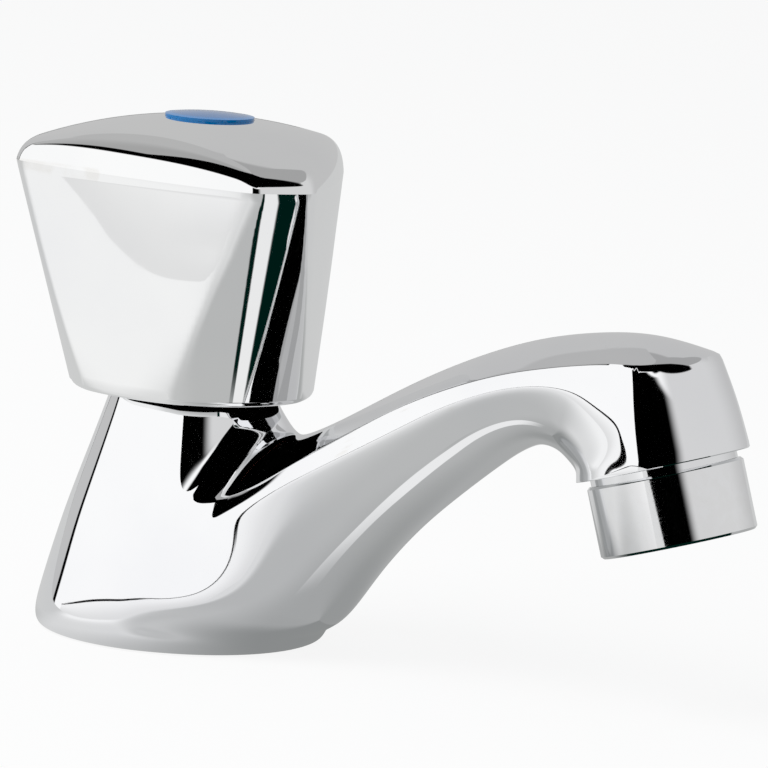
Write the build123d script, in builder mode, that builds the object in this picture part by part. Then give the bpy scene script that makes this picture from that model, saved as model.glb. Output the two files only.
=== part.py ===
# Chrome basin tap, a pillar tap with a three-sided handle and a blue disc on top.
# All lengths are millimetres. Z points up, the spout runs along +X and the origin is the
# centre of the base where it rests on the deck. Threads are plain cylinders at their size,
# apart from the tail, whose thread is drawn as a row of rings.

import os
from math import acos, cos, degrees, pi, radians, sin, sqrt, tan

from build123d import *

os.makedirs("parts", exist_ok=True)

# Column and base
BASE_R = 23.5
BASE_RIM_H = 3.4
COLUMN_TOP_Z = 42.0
COLUMN_TOP_R = 12.8
COLUMN_FLARE = [(0.893, 8.3), (0.733, 15.0), (0.558, 21.5), (0.353, 28.15), (0.149, 34.75)]
LAND_RISE = 0.5

# Spout, one row per section from the base to the head:
# underside point, crown point, shoulder half width, crown drop, widest half width, its depth
SPOUT_SECTIONS = [
    ((BASE_R - 0.3, 0.0), (-16.0, 0.0), 11.0, 2.0, BASE_R - 0.9, 16.0),
    ((29.0, 5.5), (-10.0, 9.0), 11.0, 2.5, BASE_R - 2.2, 11.5),
    ((34.8, 13.8), (-3.0, 20.0), 12.0, 3.2, BASE_R - 4.5, 10.5),
    ((41.4, 21.6), (6.0, 28.8), 13.0, 4.6, 16.7, 9.5),
    ((48.0, 27.7), (17.5, 34.3), 12.4, 4.6, 14.6, 8.5),
    ((54.5, 33.3), (33.0, 42.7), 11.5, 4.4, 13.0, 7.5),
    ((59.2, 36.9), (47.5, 50.1), 11.3, 4.2, 12.3, 6.8),
    ((62.8, 38.6), (60.5, 54.9), 11.4, 4.0, 12.2, 6.3),
    ((66.8, 38.3), (70.0, 56.7), 11.3, 3.9, 12.1, 6.1),
    ((69.5, 35.9), (77.0, 57.4), 11.0, 3.7, 12.0, 6.0),
    ((70.9, 34.2), (82.0, 57.6), 10.0, 3.4, 11.2, 5.8),
]
ROOT_FILLET = 4.5
ROOT_EDGE_MIN = 10.0
ROOT_TOP_GAP = 6.0

# Head and outlet, measured along the outlet axis
OUTLET_TILT = 17.5
MOUTH_X = 83.4
MOUTH_Z = 37.8
HEAD_PROFILE = [(13.8, 0.0), (13.5, -7.0), (12.8, -11.3), (12.2, -14.0), (11.9, -24.0)]
HEAD_CROWN = [(52.0, 52.2, 15.5), (62.0, 55.2, 17.0), (73.0, 57.2, 18.5), (84.0, 57.7, 19.5), (96.0, 54.0, 19.5)]
CROWN_HALF = 14.5
CROWN_LOW_Z = 10.0
NECK_R = 11.6
NECK_L = 1.1
NOZZLE_R = 11.0
NOZZLE_END = 7.6
NOZZLE_BORE_R = 8.9
NOZZLE_BORE_DEPTH = 11.0

# Water way in the body
BED_BOTTOM_Z = 9.0
BED_TOP_Z = 14.0
PASSAGE_R = 4.6
PASSAGE_PATH = [(4.0, 22.0), (22.0, 24.0), (39.0, 34.5), (52.0, 43.0), (64.0, 47.2), (78.5, 47.8)]

# Clearances: a running fit, a thread or push fit, and the lift of the washer off its seat
RUN = 0.04
PUSH = 0.02
LIFT = 0.02

# Valve seat, washer and carrier
SEAT_BORE_R = 4.6
SEAT_THREAD_R = 7.6
SEAT_LIP_R = 5.8
SEAT_TOP_Z = 17.0
WASHER_R = 6.3
WASHER_T = 3.0
WASHER_HOLE_R = 1.7
WASHER_SCREW_R = 1.5
WASHER_SCREW_HEAD_R = 3.0
WASHER_SCREW_HEAD_T = 1.4
WASHER_SCREW_TOP_Z = 23.6
CARRIER_AF = 10.2
CARRIER_DISC_R = 6.9
CARRIER_DISC_T = 2.0
CARRIER_BORE_Z = 24.6
CARRIER_TOP_Z = 36.5
VALVE_LIFT = 4.5

# Bonnet, screwed into the column over the valve
BONNET_THREAD_R = 10.0
BONNET_BOTTOM_Z = 27.0
BONNET_THREAD_Z = 29.0
BONNET_GUIDE_R = 8.6
BONNET_SEAL_T = 1.0
BONNET_SEAL_R = 12.4
BONNET_HEX_AF = 22.0
BONNET_HEX_H = 5.0
BONNET_NECK_R = 7.0
BONNET_TOP_Z = 56.0
GUIDE_AF = 10.4
GUIDE_TOP_Z = 43.34

# Spindle, turned by the handle and held in the bonnet by its collar and a clip
SPINDLE_R = 4.0
SPINDLE_THREAD_R = 3.4
SPINDLE_LOW_Z = 29.5
SPINDLE_TOP_Z = BONNET_TOP_Z + 10.5
SPINDLE_TAP_Z = SPINDLE_TOP_Z - 13.5
COLLAR_R = 5.0
COLLAR_LOW_Z = 41.5
COLLAR_TOP_Z = 43.3
SPLINE_TEETH = 20
SPLINE_ROOT_R = 3.7
SPLINE_LOW_Z = BONNET_TOP_Z + 1.4
CLIP_GROOVE_R = 3.3
CLIP_LOW_Z = BONNET_TOP_Z + RUN
CLIP_T = 0.8
CLIP_R = 5.4
CLIP_GAP_DEG = 50.0
ORING_WIRE_R = 0.66
ORING_GROOVE_R = 2.7
ORING_GROOVE_W = 1.8
ORING_Z = [46.6, 50.6]

# Handle, described by its corner radius and facet distance at three heights
HANDLE_BOTTOM_Z = 39.1
HANDLE_CREASE_Z = 74.2
HANDLE_BOTTOM_R = 19.7
HANDLE_CREASE_R = 30.4
FACET_BOTTOM_D = 19.0
FACET_CREASE_D = 21.3
FACET_CURVE_R = 125.0
FACET_AZIMUTH = -93.2
BAND_TAPER = 7.0
BAND_H = 9.0
DOME_R = 75.5
DOME_APEX_Z = 82.9
HANDLE_WALL = 2.2
HANDLE_BOSS_R = 8.8
HANDLE_BOSS_LOW_Z = BONNET_TOP_Z + 1.5
HANDLE_EDGE_FILLET = 0.8
DOME_EDGE_FILLET = 3.2
INSERT_R = 6.6
INSERT_TOP_Z = HANDLE_BOSS_LOW_Z + 9.5
SCREW_HEAD_R = 4.2
SCREW_HEAD_T = 3.0
SCREW_R = 2.0
SCREW_LENGTH = 12.0
SCREW_SOCKET_AF = 3.0
SCREW_SOCKET_DEPTH = 1.8
ACCESS_R = 5.2
BUTTON_R = 7.1
BUTTON_SEAT_Z = 81.0
BUTTON_RIM_Z = 83.0
BUTTON_TOP_Z = 83.5
BUTTON_PLUG_R = 5.18
BUTTON_PLUG_LOW_Z = 77.0

# Aerator, measured along the outlet axis from the mouth
HOUSING_R = 12.2
HOUSING_START = 1.1
HOUSING_END = 12.3
HOUSING_LIP_R = 9.2
HOUSING_LIP_T = 0.9
HOUSING_CHAMFER = 0.4
SEAL_END = 9.0
SEAL_HOLE_R = 8.6
INSERT_SEAT_R = 10.4
INSERT_TUBE_R = 8.3
INSERT_TUBE_IN_R = 7.1
INSERT_TUBE_START = 2.0
SCREEN_R = 8.75
SCREEN_START = 10.2
SCREEN_T = 0.4
SCREEN_PITCH = 1.3
SCREEN_GAP = 0.9
SCREEN_REACH = 7.6
PLATE_START = 3.0
PLATE_T = 1.2
PLATE_HOLE_R = 0.55
PLATE_RINGS = [(8, 3.0), (14, 5.6)]

# Fixings under the deck
BASE_SEAL_IN_R = 17.0
BASE_SEAL_OUT_R = 20.5
BASE_SEAL_T = 1.8
TAIL_R = 10.48
TAIL_LENGTH = 48.0
TAIL_PITCH = 1.814
TAIL_RING_DEPTH = 0.8
TAIL_PLAIN = 1.0
TAIL_STUB_R = 9.0
TAIL_STUB_L = 8.6
TAIL_BORE_R = 6.5
DECK_T = 14.0
CLAMP_R = 21.0
CLAMP_RUBBER_T = 3.0
CLAMP_METAL_T = 1.5
CLAMP_HOLE_R = 10.8
NUT_AF = 30.0
NUT_H = 8.0

OUTLET_DIR = Vector(sin(radians(OUTLET_TILT)), 0, -cos(radians(OUTLET_TILT)))
MOUTH = Vector(MOUTH_X, 0, MOUTH_Z)
OUTLET_PLANE = Plane(origin=MOUTH, x_dir=(0, 1, 0), z_dir=OUTLET_DIR)


def turned(points, plane=Plane.XY):
    """Solid of revolution about the plane's own Z axis from (radius, height) points."""
    with BuildPart(plane) as solid:
        frame = Plane(origin=plane.origin, x_dir=plane.x_dir, z_dir=-plane.y_dir)
        with BuildSketch(frame):
            with BuildLine():
                Polyline([(r, z) for r, z in points], close=True)
            make_face()
        revolve(axis=Axis(plane.origin, plane.z_dir))
    return solid.part


def handle_outline(corner_r, facet_d, z):
    """Rounded triangle at one height: three wide facets joined by three corner arcs."""
    centre = facet_d - FACET_CURVE_R
    ratio = (corner_r**2 + centre**2 - FACET_CURVE_R**2) / (2 * corner_r * centre)
    half = degrees(acos(max(-1.0, min(1.0, ratio))))
    half = min(half, 180 - half)
    with BuildSketch(Plane.XY.offset(z)) as sketch:
        with BuildLine():
            for side in range(3):
                mid = FACET_AZIMUTH + 120 * side
                ends = [radians(mid - half), radians(mid + half)]
                next_start = radians(mid + 120 - half)
                corner_mid = radians(mid + 60)
                start, stop = [(corner_r * cos(a), corner_r * sin(a)) for a in ends]
                top = (facet_d * cos(radians(mid)), facet_d * sin(radians(mid)))
                ThreePointArc(start, top, stop)
                corner = (corner_r * cos(corner_mid), corner_r * sin(corner_mid))
                after = (corner_r * cos(next_start), corner_r * sin(next_start))
                ThreePointArc(stop, corner, after)
        make_face()
    return sketch.sketch


def toothed_outline(root_r, tip_r, teeth):
    """Points of a fine straight-toothed ring."""
    points = []
    for tooth in range(teeth):
        for part, radius in enumerate((root_r, root_r, tip_r, tip_r)):
            angle = 2 * pi * (tooth + part / 4) / teeth
            points.append((radius * cos(angle), radius * sin(angle)))
    return points


def spout_section(row):
    """One section of the spout: a crowned top and a rounded underside."""
    low, top, shoulder, drop, widest, depth = row
    rise = Vector(top[0] - low[0], 0, top[1] - low[1])
    height = rise.length
    up = rise.normalized()
    across = Vector(0, 1, 0)
    plane = Plane(origin=(top[0], 0, top[1]), x_dir=across, z_dir=across.cross(up))
    side = [(shoulder, -drop)]
    side.append((shoulder + 0.72 * (widest - shoulder), -(drop + 0.45 * (depth - drop))))
    for step in range(6):
        angle = radians(90 - 15 * step)
        side.append((widest * sin(angle), -(depth + (height - depth) * cos(angle))))
    points = side + [(0.0, -height)] + [(-y, t) for y, t in reversed(side)]
    with BuildSketch(plane) as sketch:
        with BuildLine():
            ThreePointArc((-shoulder, -drop), (0, 0), (shoulder, -drop))
            Spline(points)
        make_face()
    return sketch.sketch


def crown_section(x, z, radius):
    """Tall slab in a plane across the spout, with the crowned top as its upper edge."""
    half = CROWN_HALF
    drop = radius - sqrt(radius**2 - half**2)
    with BuildSketch(Plane(origin=(x, 0, 0), x_dir=(0, 1, 0), z_dir=(1, 0, 0))) as sketch:
        with BuildLine():
            ThreePointArc((-half, z - drop), (0, z), (half, z - drop))
            Polyline(
                (half, z - drop), (half, CROWN_LOW_Z), (-half, CROWN_LOW_Z), (-half, z - drop)
            )
        make_face()
    return sketch.sketch


# Body: column, spout and head as one casting, with the water way inside
with BuildPart() as body:
    flare = [(COLUMN_TOP_R + part * (BASE_R - COLUMN_TOP_R), z) for part, z in COLUMN_FLARE]
    with BuildSketch(Plane.XZ):
        with BuildLine():
            Polyline((0, COLUMN_TOP_Z), (0, 0), (BASE_R, 0), (BASE_R, BASE_RIM_H))
            Spline((BASE_R, BASE_RIM_H), *flare, (COLUMN_TOP_R, COLUMN_TOP_Z - 2))
            Polyline(
                (COLUMN_TOP_R, COLUMN_TOP_Z - 2),
                (COLUMN_TOP_R, COLUMN_TOP_Z),
                (0, COLUMN_TOP_Z),
            )
        make_face()
    revolve(axis=Axis.Z)
    loft(sections=[spout_section(row) for row in SPOUT_SECTIONS])
    seam = [edge for edge in body.edges() if edge.length > ROOT_EDGE_MIN]
    seam = [edge for edge in seam if edge.bounding_box().min.Z > BASE_RIM_H - 1]
    seam = [edge for edge in seam if edge.bounding_box().min.X > 2]
    seam = [edge for edge in seam if edge.bounding_box().max.X < BASE_R]
    seam = [edge for edge in seam if edge.bounding_box().max.Z < COLUMN_TOP_Z - ROOT_TOP_GAP]
    fillet(seam, ROOT_FILLET)
    head = turned([(0, 0)] + HEAD_PROFILE + [(0, HEAD_PROFILE[-1][1])], OUTLET_PLANE)
    crown = Solid.make_loft([crown_section(*row).wire() for row in HEAD_CROWN], False)
    add(head & crown)
    add(turned([(0, -1), (NECK_R, -1), (NECK_R, NECK_L), (0, NECK_L)], OUTLET_PLANE))
    add(turned([(0, 0), (NOZZLE_R, 0), (NOZZLE_R, NOZZLE_END), (0, NOZZLE_END)], OUTLET_PLANE))
    bore = [(0, -NOZZLE_BORE_DEPTH), (NOZZLE_BORE_R, -NOZZLE_BORE_DEPTH)]
    bore += [(NOZZLE_BORE_R, NOZZLE_END), (0, NOZZLE_END)]
    add(turned(bore, OUTLET_PLANE), mode=Mode.SUBTRACT)
    with BuildLine() as passage:
        Spline([(x, 0, z) for x, z in PASSAGE_PATH])
    start = passage.line % 0
    with BuildSketch(Plane(origin=passage.line @ 0, z_dir=start)):
        Circle(PASSAGE_R)
    sweep(path=passage.line, mode=Mode.SUBTRACT)
    with BuildSketch(Plane.XY.offset(BED_TOP_Z)):
        Circle(BONNET_THREAD_R + PUSH)
    extrude(amount=COLUMN_TOP_Z - BED_TOP_Z, mode=Mode.SUBTRACT)
    with BuildSketch(Plane.XY.offset(BED_BOTTOM_Z)):
        Circle(SEAT_THREAD_R + PUSH)
    extrude(amount=BED_TOP_Z - BED_BOTTOM_Z, mode=Mode.SUBTRACT)
    with BuildSketch(Plane.XY):
        Circle(TAIL_STUB_R + PUSH)
    extrude(amount=BED_BOTTOM_Z, mode=Mode.SUBTRACT)
    with BuildSketch(Plane.XY):
        Circle(BASE_SEAL_OUT_R)
        Circle(BASE_SEAL_IN_R, mode=Mode.SUBTRACT)
    extrude(amount=BASE_SEAL_T, mode=Mode.SUBTRACT)
    with BuildSketch(Plane.XY):
        Circle(BASE_SEAL_IN_R)
    extrude(amount=LAND_RISE, mode=Mode.SUBTRACT)
body.part.label = "body"
export_step(body.part, "parts/body.step")

# Handle: a hollow three-sided cap with a domed top and a boss for the spline bush
with BuildPart() as handle:
    low = handle_outline(HANDLE_BOTTOM_R, FACET_BOTTOM_D, HANDLE_BOTTOM_Z)
    crease = handle_outline(HANDLE_CREASE_R, FACET_CREASE_D, HANDLE_CREASE_Z)
    inset = BAND_H * tan(radians(BAND_TAPER))
    cap = handle_outline(HANDLE_CREASE_R - inset, FACET_CREASE_D - inset, HANDLE_CREASE_Z + BAND_H)
    add(Solid.make_loft([low.wire(), crease.wire()], True))
    add(Solid.make_loft([crease.wire(), cap.wire()], True))
    with Locations((0, 0, DOME_APEX_Z - DOME_R)):
        Sphere(DOME_R, mode=Mode.INTERSECT)
    dome_face = handle.faces().sort_by(Axis.Z)[-1]
    fillet(dome_face.edges(), DOME_EDGE_FILLET)
    fillet(handle.faces().sort_by(Axis.Z)[0].edges(), HANDLE_EDGE_FILLET)
    wall = HANDLE_WALL
    inner_low = handle_outline(HANDLE_BOTTOM_R - wall, FACET_BOTTOM_D - wall, HANDLE_BOTTOM_Z)
    inner_top = handle_outline(HANDLE_CREASE_R - wall, FACET_CREASE_D - wall, HANDLE_CREASE_Z)
    add(Solid.make_loft([inner_low.wire(), inner_top.wire()], True), mode=Mode.SUBTRACT)
    with BuildSketch(Plane.XY.offset(HANDLE_BOSS_LOW_Z)):
        Circle(HANDLE_BOSS_R)
    extrude(amount=HANDLE_CREASE_Z - HANDLE_BOSS_LOW_Z)
    with BuildSketch(Plane.XY.offset(HANDLE_BOSS_LOW_Z)):
        Circle(INSERT_R + PUSH)
    extrude(amount=INSERT_TOP_Z - HANDLE_BOSS_LOW_Z, mode=Mode.SUBTRACT)
    with BuildSketch(Plane.XY.offset(INSERT_TOP_Z)):
        Circle(ACCESS_R)
    extrude(amount=DOME_APEX_Z - INSERT_TOP_Z, mode=Mode.SUBTRACT)
    with BuildSketch(Plane.XY.offset(BUTTON_SEAT_Z)):
        Circle(BUTTON_R + PUSH)
    extrude(amount=DOME_APEX_Z - BUTTON_SEAT_Z, mode=Mode.SUBTRACT)
handle.part.label = "handle"
export_step(handle.part, "parts/handle.step")

# Blue disc with a round plug, pushed into the middle of the handle
with BuildPart() as index_button:
    plug = [(0, BUTTON_PLUG_LOW_Z), (BUTTON_PLUG_R, BUTTON_PLUG_LOW_Z)]
    plug += [(BUTTON_PLUG_R, BUTTON_SEAT_Z), (BUTTON_R, BUTTON_SEAT_Z), (BUTTON_R, BUTTON_RIM_Z)]
    rise = BUTTON_TOP_Z - BUTTON_RIM_Z
    dome_r = (BUTTON_R**2 + rise**2) / (2 * rise)
    half_r = BUTTON_R / 2
    half_z = BUTTON_TOP_Z - dome_r + sqrt(dome_r**2 - half_r**2)
    with BuildSketch(Plane.XZ):
        with BuildLine():
            Polyline(*plug)
            ThreePointArc((BUTTON_R, BUTTON_RIM_Z), (half_r, half_z), (0, BUTTON_TOP_Z))
            Line((0, BUTTON_TOP_Z), (0, BUTTON_PLUG_LOW_Z))
        make_face()
    revolve(axis=Axis.Z)
index_button.part.label = "index_button"
export_step(index_button.part, "parts/index_button.step")

# Toothed bush pressed into the handle boss
with BuildPart() as spline_bush:
    with BuildSketch(Plane.XY.offset(HANDLE_BOSS_LOW_Z)):
        Circle(INSERT_R)
        with BuildLine():
            outline = toothed_outline(SPLINE_ROOT_R + PUSH, SPINDLE_R + PUSH, SPLINE_TEETH)
            Polyline(*outline, close=True)
        make_face(mode=Mode.SUBTRACT)
    extrude(amount=INSERT_TOP_Z - HANDLE_BOSS_LOW_Z)
spline_bush.part.label = "spline_bush"
export_step(spline_bush.part, "parts/spline_bush.step")

# Screw that holds the handle down on the spindle
with BuildPart() as handle_screw:
    with BuildSketch(Plane.XY.offset(INSERT_TOP_Z)):
        Circle(SCREW_HEAD_R)
    extrude(amount=SCREW_HEAD_T)
    fillet(handle_screw.edges().sort_by(Axis.Z)[-1], 0.6)
    with BuildSketch(Plane.XY.offset(INSERT_TOP_Z)):
        Circle(SCREW_R)
    extrude(amount=-SCREW_LENGTH)
    with BuildSketch(Plane.XY.offset(INSERT_TOP_Z + SCREW_HEAD_T)):
        RegularPolygon(SCREW_SOCKET_AF / 2, 6, major_radius=False)
    extrude(amount=-SCREW_SOCKET_DEPTH, mode=Mode.SUBTRACT)
handle_screw.part.label = "handle_screw"
export_step(handle_screw.part, "parts/handle_screw.step")

# Spindle: toothed top, two ring grooves, a collar and the thread that drives the carrier
with BuildPart() as spindle:
    half = ORING_GROOVE_W / 2
    profile = [(0, SPINDLE_LOW_Z), (SPINDLE_THREAD_R, SPINDLE_LOW_Z)]
    profile += [(SPINDLE_THREAD_R, COLLAR_LOW_Z), (COLLAR_R, COLLAR_LOW_Z)]
    profile += [(COLLAR_R, COLLAR_TOP_Z), (SPINDLE_R, COLLAR_TOP_Z)]
    for ring_z in ORING_Z:
        profile += [(SPINDLE_R, ring_z - half), (ORING_GROOVE_R, ring_z - half)]
        profile += [(ORING_GROOVE_R, ring_z + half), (SPINDLE_R, ring_z + half)]
    profile += [(SPINDLE_R, CLIP_LOW_Z), (CLIP_GROOVE_R, CLIP_LOW_Z)]
    profile += [(CLIP_GROOVE_R, CLIP_LOW_Z + CLIP_T), (SPINDLE_R, CLIP_LOW_Z + CLIP_T)]
    profile += [(SPINDLE_R, SPLINE_LOW_Z), (0, SPLINE_LOW_Z)]
    add(turned(profile))
    with BuildSketch(Plane.XY.offset(SPLINE_LOW_Z)):
        with BuildLine():
            Polyline(*toothed_outline(SPLINE_ROOT_R, SPINDLE_R, SPLINE_TEETH), close=True)
        make_face()
    extrude(amount=SPINDLE_TOP_Z - SPLINE_LOW_Z)
    with BuildSketch(Plane.XY.offset(SPINDLE_TAP_Z)):
        Circle(SCREW_R + PUSH)
    extrude(amount=SPINDLE_TOP_Z - SPINDLE_TAP_Z, mode=Mode.SUBTRACT)
spindle.part.label = "spindle"
export_step(spindle.part, "parts/spindle.step")

# Open spring clip that keeps the spindle from dropping
with BuildPart() as spindle_clip:
    with BuildSketch(Plane.XY.offset(CLIP_LOW_Z)):
        Circle(CLIP_R)
        Circle(CLIP_GROOVE_R + PUSH, mode=Mode.SUBTRACT)
        with BuildLine():
            reach = 2 * CLIP_R
            open_half = radians(CLIP_GAP_DEG / 2)
            gap_x = reach * cos(open_half)
            gap_y = reach * sin(open_half)
            Polyline((0, 0), (gap_x, -gap_y), (gap_x, gap_y), close=True)
        make_face(mode=Mode.SUBTRACT)
    extrude(amount=CLIP_T)
spindle_clip.part.label = "spindle_clip"
export_step(spindle_clip.part, "parts/spindle_clip.step")

# Two rubber rings in the spindle grooves
with BuildPart() as spindle_rings:
    for ring_z in ORING_Z:
        with Locations((0, 0, ring_z)):
            Torus(ORING_GROOVE_R + ORING_WIRE_R, ORING_WIRE_R)
spindle_rings.part.label = "spindle_rings"
export_step(spindle_rings.part, "parts/spindle_rings.step")

# Bonnet: threaded barrel with a hexagon, a hexagonal guide inside and a round neck
with BuildPart() as bonnet:
    hex_low = COLUMN_TOP_Z + BONNET_SEAL_T
    hex_top = hex_low + BONNET_HEX_H
    with BuildSketch(Plane.XY.offset(BONNET_BOTTOM_Z)):
        Circle(BONNET_GUIDE_R)
    extrude(amount=BONNET_THREAD_Z - BONNET_BOTTOM_Z)
    with BuildSketch(Plane.XY.offset(BONNET_THREAD_Z)):
        Circle(BONNET_THREAD_R)
    extrude(amount=hex_low - BONNET_THREAD_Z)
    with BuildSketch(Plane.XY.offset(hex_low)):
        RegularPolygon(BONNET_HEX_AF / 2, 6, major_radius=False)
    extrude(amount=BONNET_HEX_H)
    with BuildSketch(Plane.XY.offset(hex_top)):
        Circle(BONNET_NECK_R)
    extrude(amount=BONNET_TOP_Z - hex_top)
    chamfer(bonnet.edges().group_by(Axis.Z)[-1], 0.6)
    with BuildSketch(Plane.XY.offset(BONNET_BOTTOM_Z)):
        RegularPolygon(GUIDE_AF / 2, 6, major_radius=False)
    extrude(amount=GUIDE_TOP_Z - BONNET_BOTTOM_Z, mode=Mode.SUBTRACT)
    with BuildSketch(Plane.XY.offset(GUIDE_TOP_Z)):
        Circle(SPINDLE_R + RUN)
    extrude(amount=BONNET_TOP_Z - GUIDE_TOP_Z, mode=Mode.SUBTRACT)
bonnet.part.label = "bonnet"
export_step(bonnet.part, "parts/bonnet.step")

# Flat seal between the bonnet and the top of the column
with BuildPart() as bonnet_seal:
    with BuildSketch(Plane.XY.offset(COLUMN_TOP_Z)):
        Circle(BONNET_SEAL_R)
        Circle(BONNET_THREAD_R + PUSH, mode=Mode.SUBTRACT)
    extrude(amount=BONNET_SEAL_T)
bonnet_seal.part.label = "bonnet_seal"
export_step(bonnet_seal.part, "parts/bonnet_seal.step")

# Valve carrier: slides in the hexagonal guide when the spindle turns
with BuildPart() as valve_carrier:
    disc_low = SEAT_TOP_Z + LIFT + WASHER_T
    with BuildSketch(Plane.XY.offset(disc_low)):
        Circle(CARRIER_DISC_R)
    extrude(amount=CARRIER_DISC_T)
    with BuildSketch(Plane.XY.offset(disc_low + CARRIER_DISC_T)):
        RegularPolygon(CARRIER_AF / 2, 6, major_radius=False)
    extrude(amount=CARRIER_TOP_Z - disc_low - CARRIER_DISC_T)
    with BuildSketch(Plane.XY.offset(CARRIER_BORE_Z)):
        Circle(SPINDLE_THREAD_R + RUN)
    extrude(amount=CARRIER_TOP_Z - CARRIER_BORE_Z, mode=Mode.SUBTRACT)
    with BuildSketch(Plane.XY.offset(disc_low)):
        Circle(WASHER_SCREW_R + PUSH)
    extrude(amount=WASHER_SCREW_TOP_Z + 0.2 - disc_low, mode=Mode.SUBTRACT)
valve_carrier.part.label = "valve_carrier"
export_step(valve_carrier.part, "parts/valve_carrier.step")

# Rubber washer that closes the seat
with BuildPart() as seat_washer:
    with BuildSketch(Plane.XY.offset(SEAT_TOP_Z + LIFT)):
        Circle(WASHER_R)
        Circle(WASHER_HOLE_R, mode=Mode.SUBTRACT)
    extrude(amount=WASHER_T)
seat_washer.part.label = "seat_washer"
export_step(seat_washer.part, "parts/seat_washer.step")

# Small screw that holds the washer on the carrier
with BuildPart() as washer_screw:
    with BuildSketch(Plane.XY.offset(SEAT_TOP_Z + LIFT - WASHER_SCREW_HEAD_T)):
        Circle(WASHER_SCREW_HEAD_R)
    extrude(amount=WASHER_SCREW_HEAD_T)
    with BuildSketch(Plane.XY.offset(SEAT_TOP_Z + LIFT)):
        Circle(WASHER_SCREW_R)
    extrude(amount=WASHER_SCREW_TOP_Z - SEAT_TOP_Z - LIFT)
    with BuildSketch(Plane.XY.offset(SEAT_TOP_Z + LIFT - WASHER_SCREW_HEAD_T)):
        Rectangle(2.2 * WASHER_SCREW_HEAD_R, 0.8)
    extrude(amount=0.7, mode=Mode.SUBTRACT)
washer_screw.part.label = "washer_screw"
export_step(washer_screw.part, "parts/washer_screw.step")

# Valve seat screwed into the bed of the body
with BuildPart() as valve_seat:
    seat = [(SEAT_BORE_R, BED_BOTTOM_Z), (SEAT_THREAD_R, BED_BOTTOM_Z)]
    seat += [(SEAT_THREAD_R, BED_TOP_Z), (SEAT_LIP_R + 1.0, BED_TOP_Z + 0.6)]
    seat += [(SEAT_LIP_R, SEAT_TOP_Z - 0.4), (SEAT_LIP_R - 0.3, SEAT_TOP_Z)]
    seat += [(SEAT_BORE_R + 0.2, SEAT_TOP_Z), (SEAT_BORE_R, SEAT_TOP_Z - 0.3)]
    add(turned(seat))
valve_seat.part.label = "valve_seat"
export_step(valve_seat.part, "parts/valve_seat.step")

# Aerator housing, a plain sleeve screwed over the outlet nozzle
with BuildPart() as aerator_housing:
    edge = HOUSING_CHAMFER
    sleeve = [(NOZZLE_R + PUSH, HOUSING_START), (HOUSING_R - edge, HOUSING_START)]
    sleeve += [(HOUSING_R, HOUSING_START + edge), (HOUSING_R, HOUSING_END - edge)]
    sleeve += [(HOUSING_R - edge, HOUSING_END), (HOUSING_LIP_R, HOUSING_END)]
    sleeve += [(HOUSING_LIP_R, HOUSING_END - HOUSING_LIP_T)]
    sleeve += [(INSERT_SEAT_R, HOUSING_END - HOUSING_LIP_T), (INSERT_SEAT_R, SEAL_END)]
    sleeve += [(NOZZLE_R + PUSH, SEAL_END)]
    add(turned(sleeve, OUTLET_PLANE))
aerator_housing.part.label = "aerator_housing"
export_step(aerator_housing.part, "parts/aerator_housing.step")

# Flat rubber ring between the nozzle end and the aerator insert
with BuildPart() as aerator_seal:
    flat = [(SEAL_HOLE_R, NOZZLE_END + PUSH), (NOZZLE_R, NOZZLE_END + PUSH)]
    flat += [(NOZZLE_R, SEAL_END - PUSH), (SEAL_HOLE_R, SEAL_END - PUSH)]
    add(turned(flat, OUTLET_PLANE))
aerator_seal.part.label = "aerator_seal"
export_step(aerator_seal.part, "parts/aerator_seal.step")

# Plastic aerator insert: a tube inside the nozzle with a wide foot on the housing lip
with BuildPart() as aerator_insert:
    foot_end = HOUSING_END - HOUSING_LIP_T - PUSH
    shell = [(INSERT_TUBE_IN_R, INSERT_TUBE_START), (INSERT_TUBE_R, INSERT_TUBE_START)]
    shell += [(INSERT_TUBE_R, SEAL_END + PUSH), (INSERT_SEAT_R - RUN, SEAL_END + PUSH)]
    shell += [(INSERT_SEAT_R - RUN, foot_end), (SCREEN_R + PUSH, foot_end)]
    shell += [(SCREEN_R + PUSH, SCREEN_START), (INSERT_TUBE_IN_R, SCREEN_START)]
    add(turned(shell, OUTLET_PLANE))
aerator_insert.part.label = "aerator_insert"
export_step(aerator_insert.part, "parts/aerator_insert.step")

# Round plate with two rings of small holes across the insert tube
with BuildPart() as aerator_plate:
    plate = [(0, PLATE_START), (INSERT_TUBE_IN_R - PUSH, PLATE_START)]
    plate += [(INSERT_TUBE_IN_R - PUSH, PLATE_START + PLATE_T), (0, PLATE_START + PLATE_T)]
    add(turned(plate, OUTLET_PLANE))
    for count, ring_r in PLATE_RINGS:
        with BuildSketch(OUTLET_PLANE.offset(PLATE_START)):
            with PolarLocations(ring_r, count):
                Circle(PLATE_HOLE_R)
        extrude(amount=PLATE_T, mode=Mode.SUBTRACT)
aerator_plate.part.label = "aerator_plate"
export_step(aerator_plate.part, "parts/aerator_plate.step")

# Fine square net at the end of the outlet
with BuildPart() as aerator_screen:
    with BuildSketch(OUTLET_PLANE.offset(SCREEN_START + PUSH)):
        Circle(SCREEN_R)
        count = int(2 * SCREEN_REACH / SCREEN_PITCH) + 1
        middle = (count - 1) / 2
        for row in range(count):
            for column in range(count):
                spot = ((row - middle) * SCREEN_PITCH, (column - middle) * SCREEN_PITCH)
                if sqrt(spot[0] ** 2 + spot[1] ** 2) < SCREEN_REACH:
                    with Locations(spot):
                        Rectangle(SCREEN_GAP, SCREEN_GAP, mode=Mode.SUBTRACT)
    extrude(amount=SCREEN_T)
aerator_screen.part.label = "aerator_screen"
export_step(aerator_screen.part, "parts/aerator_screen.step")

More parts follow.
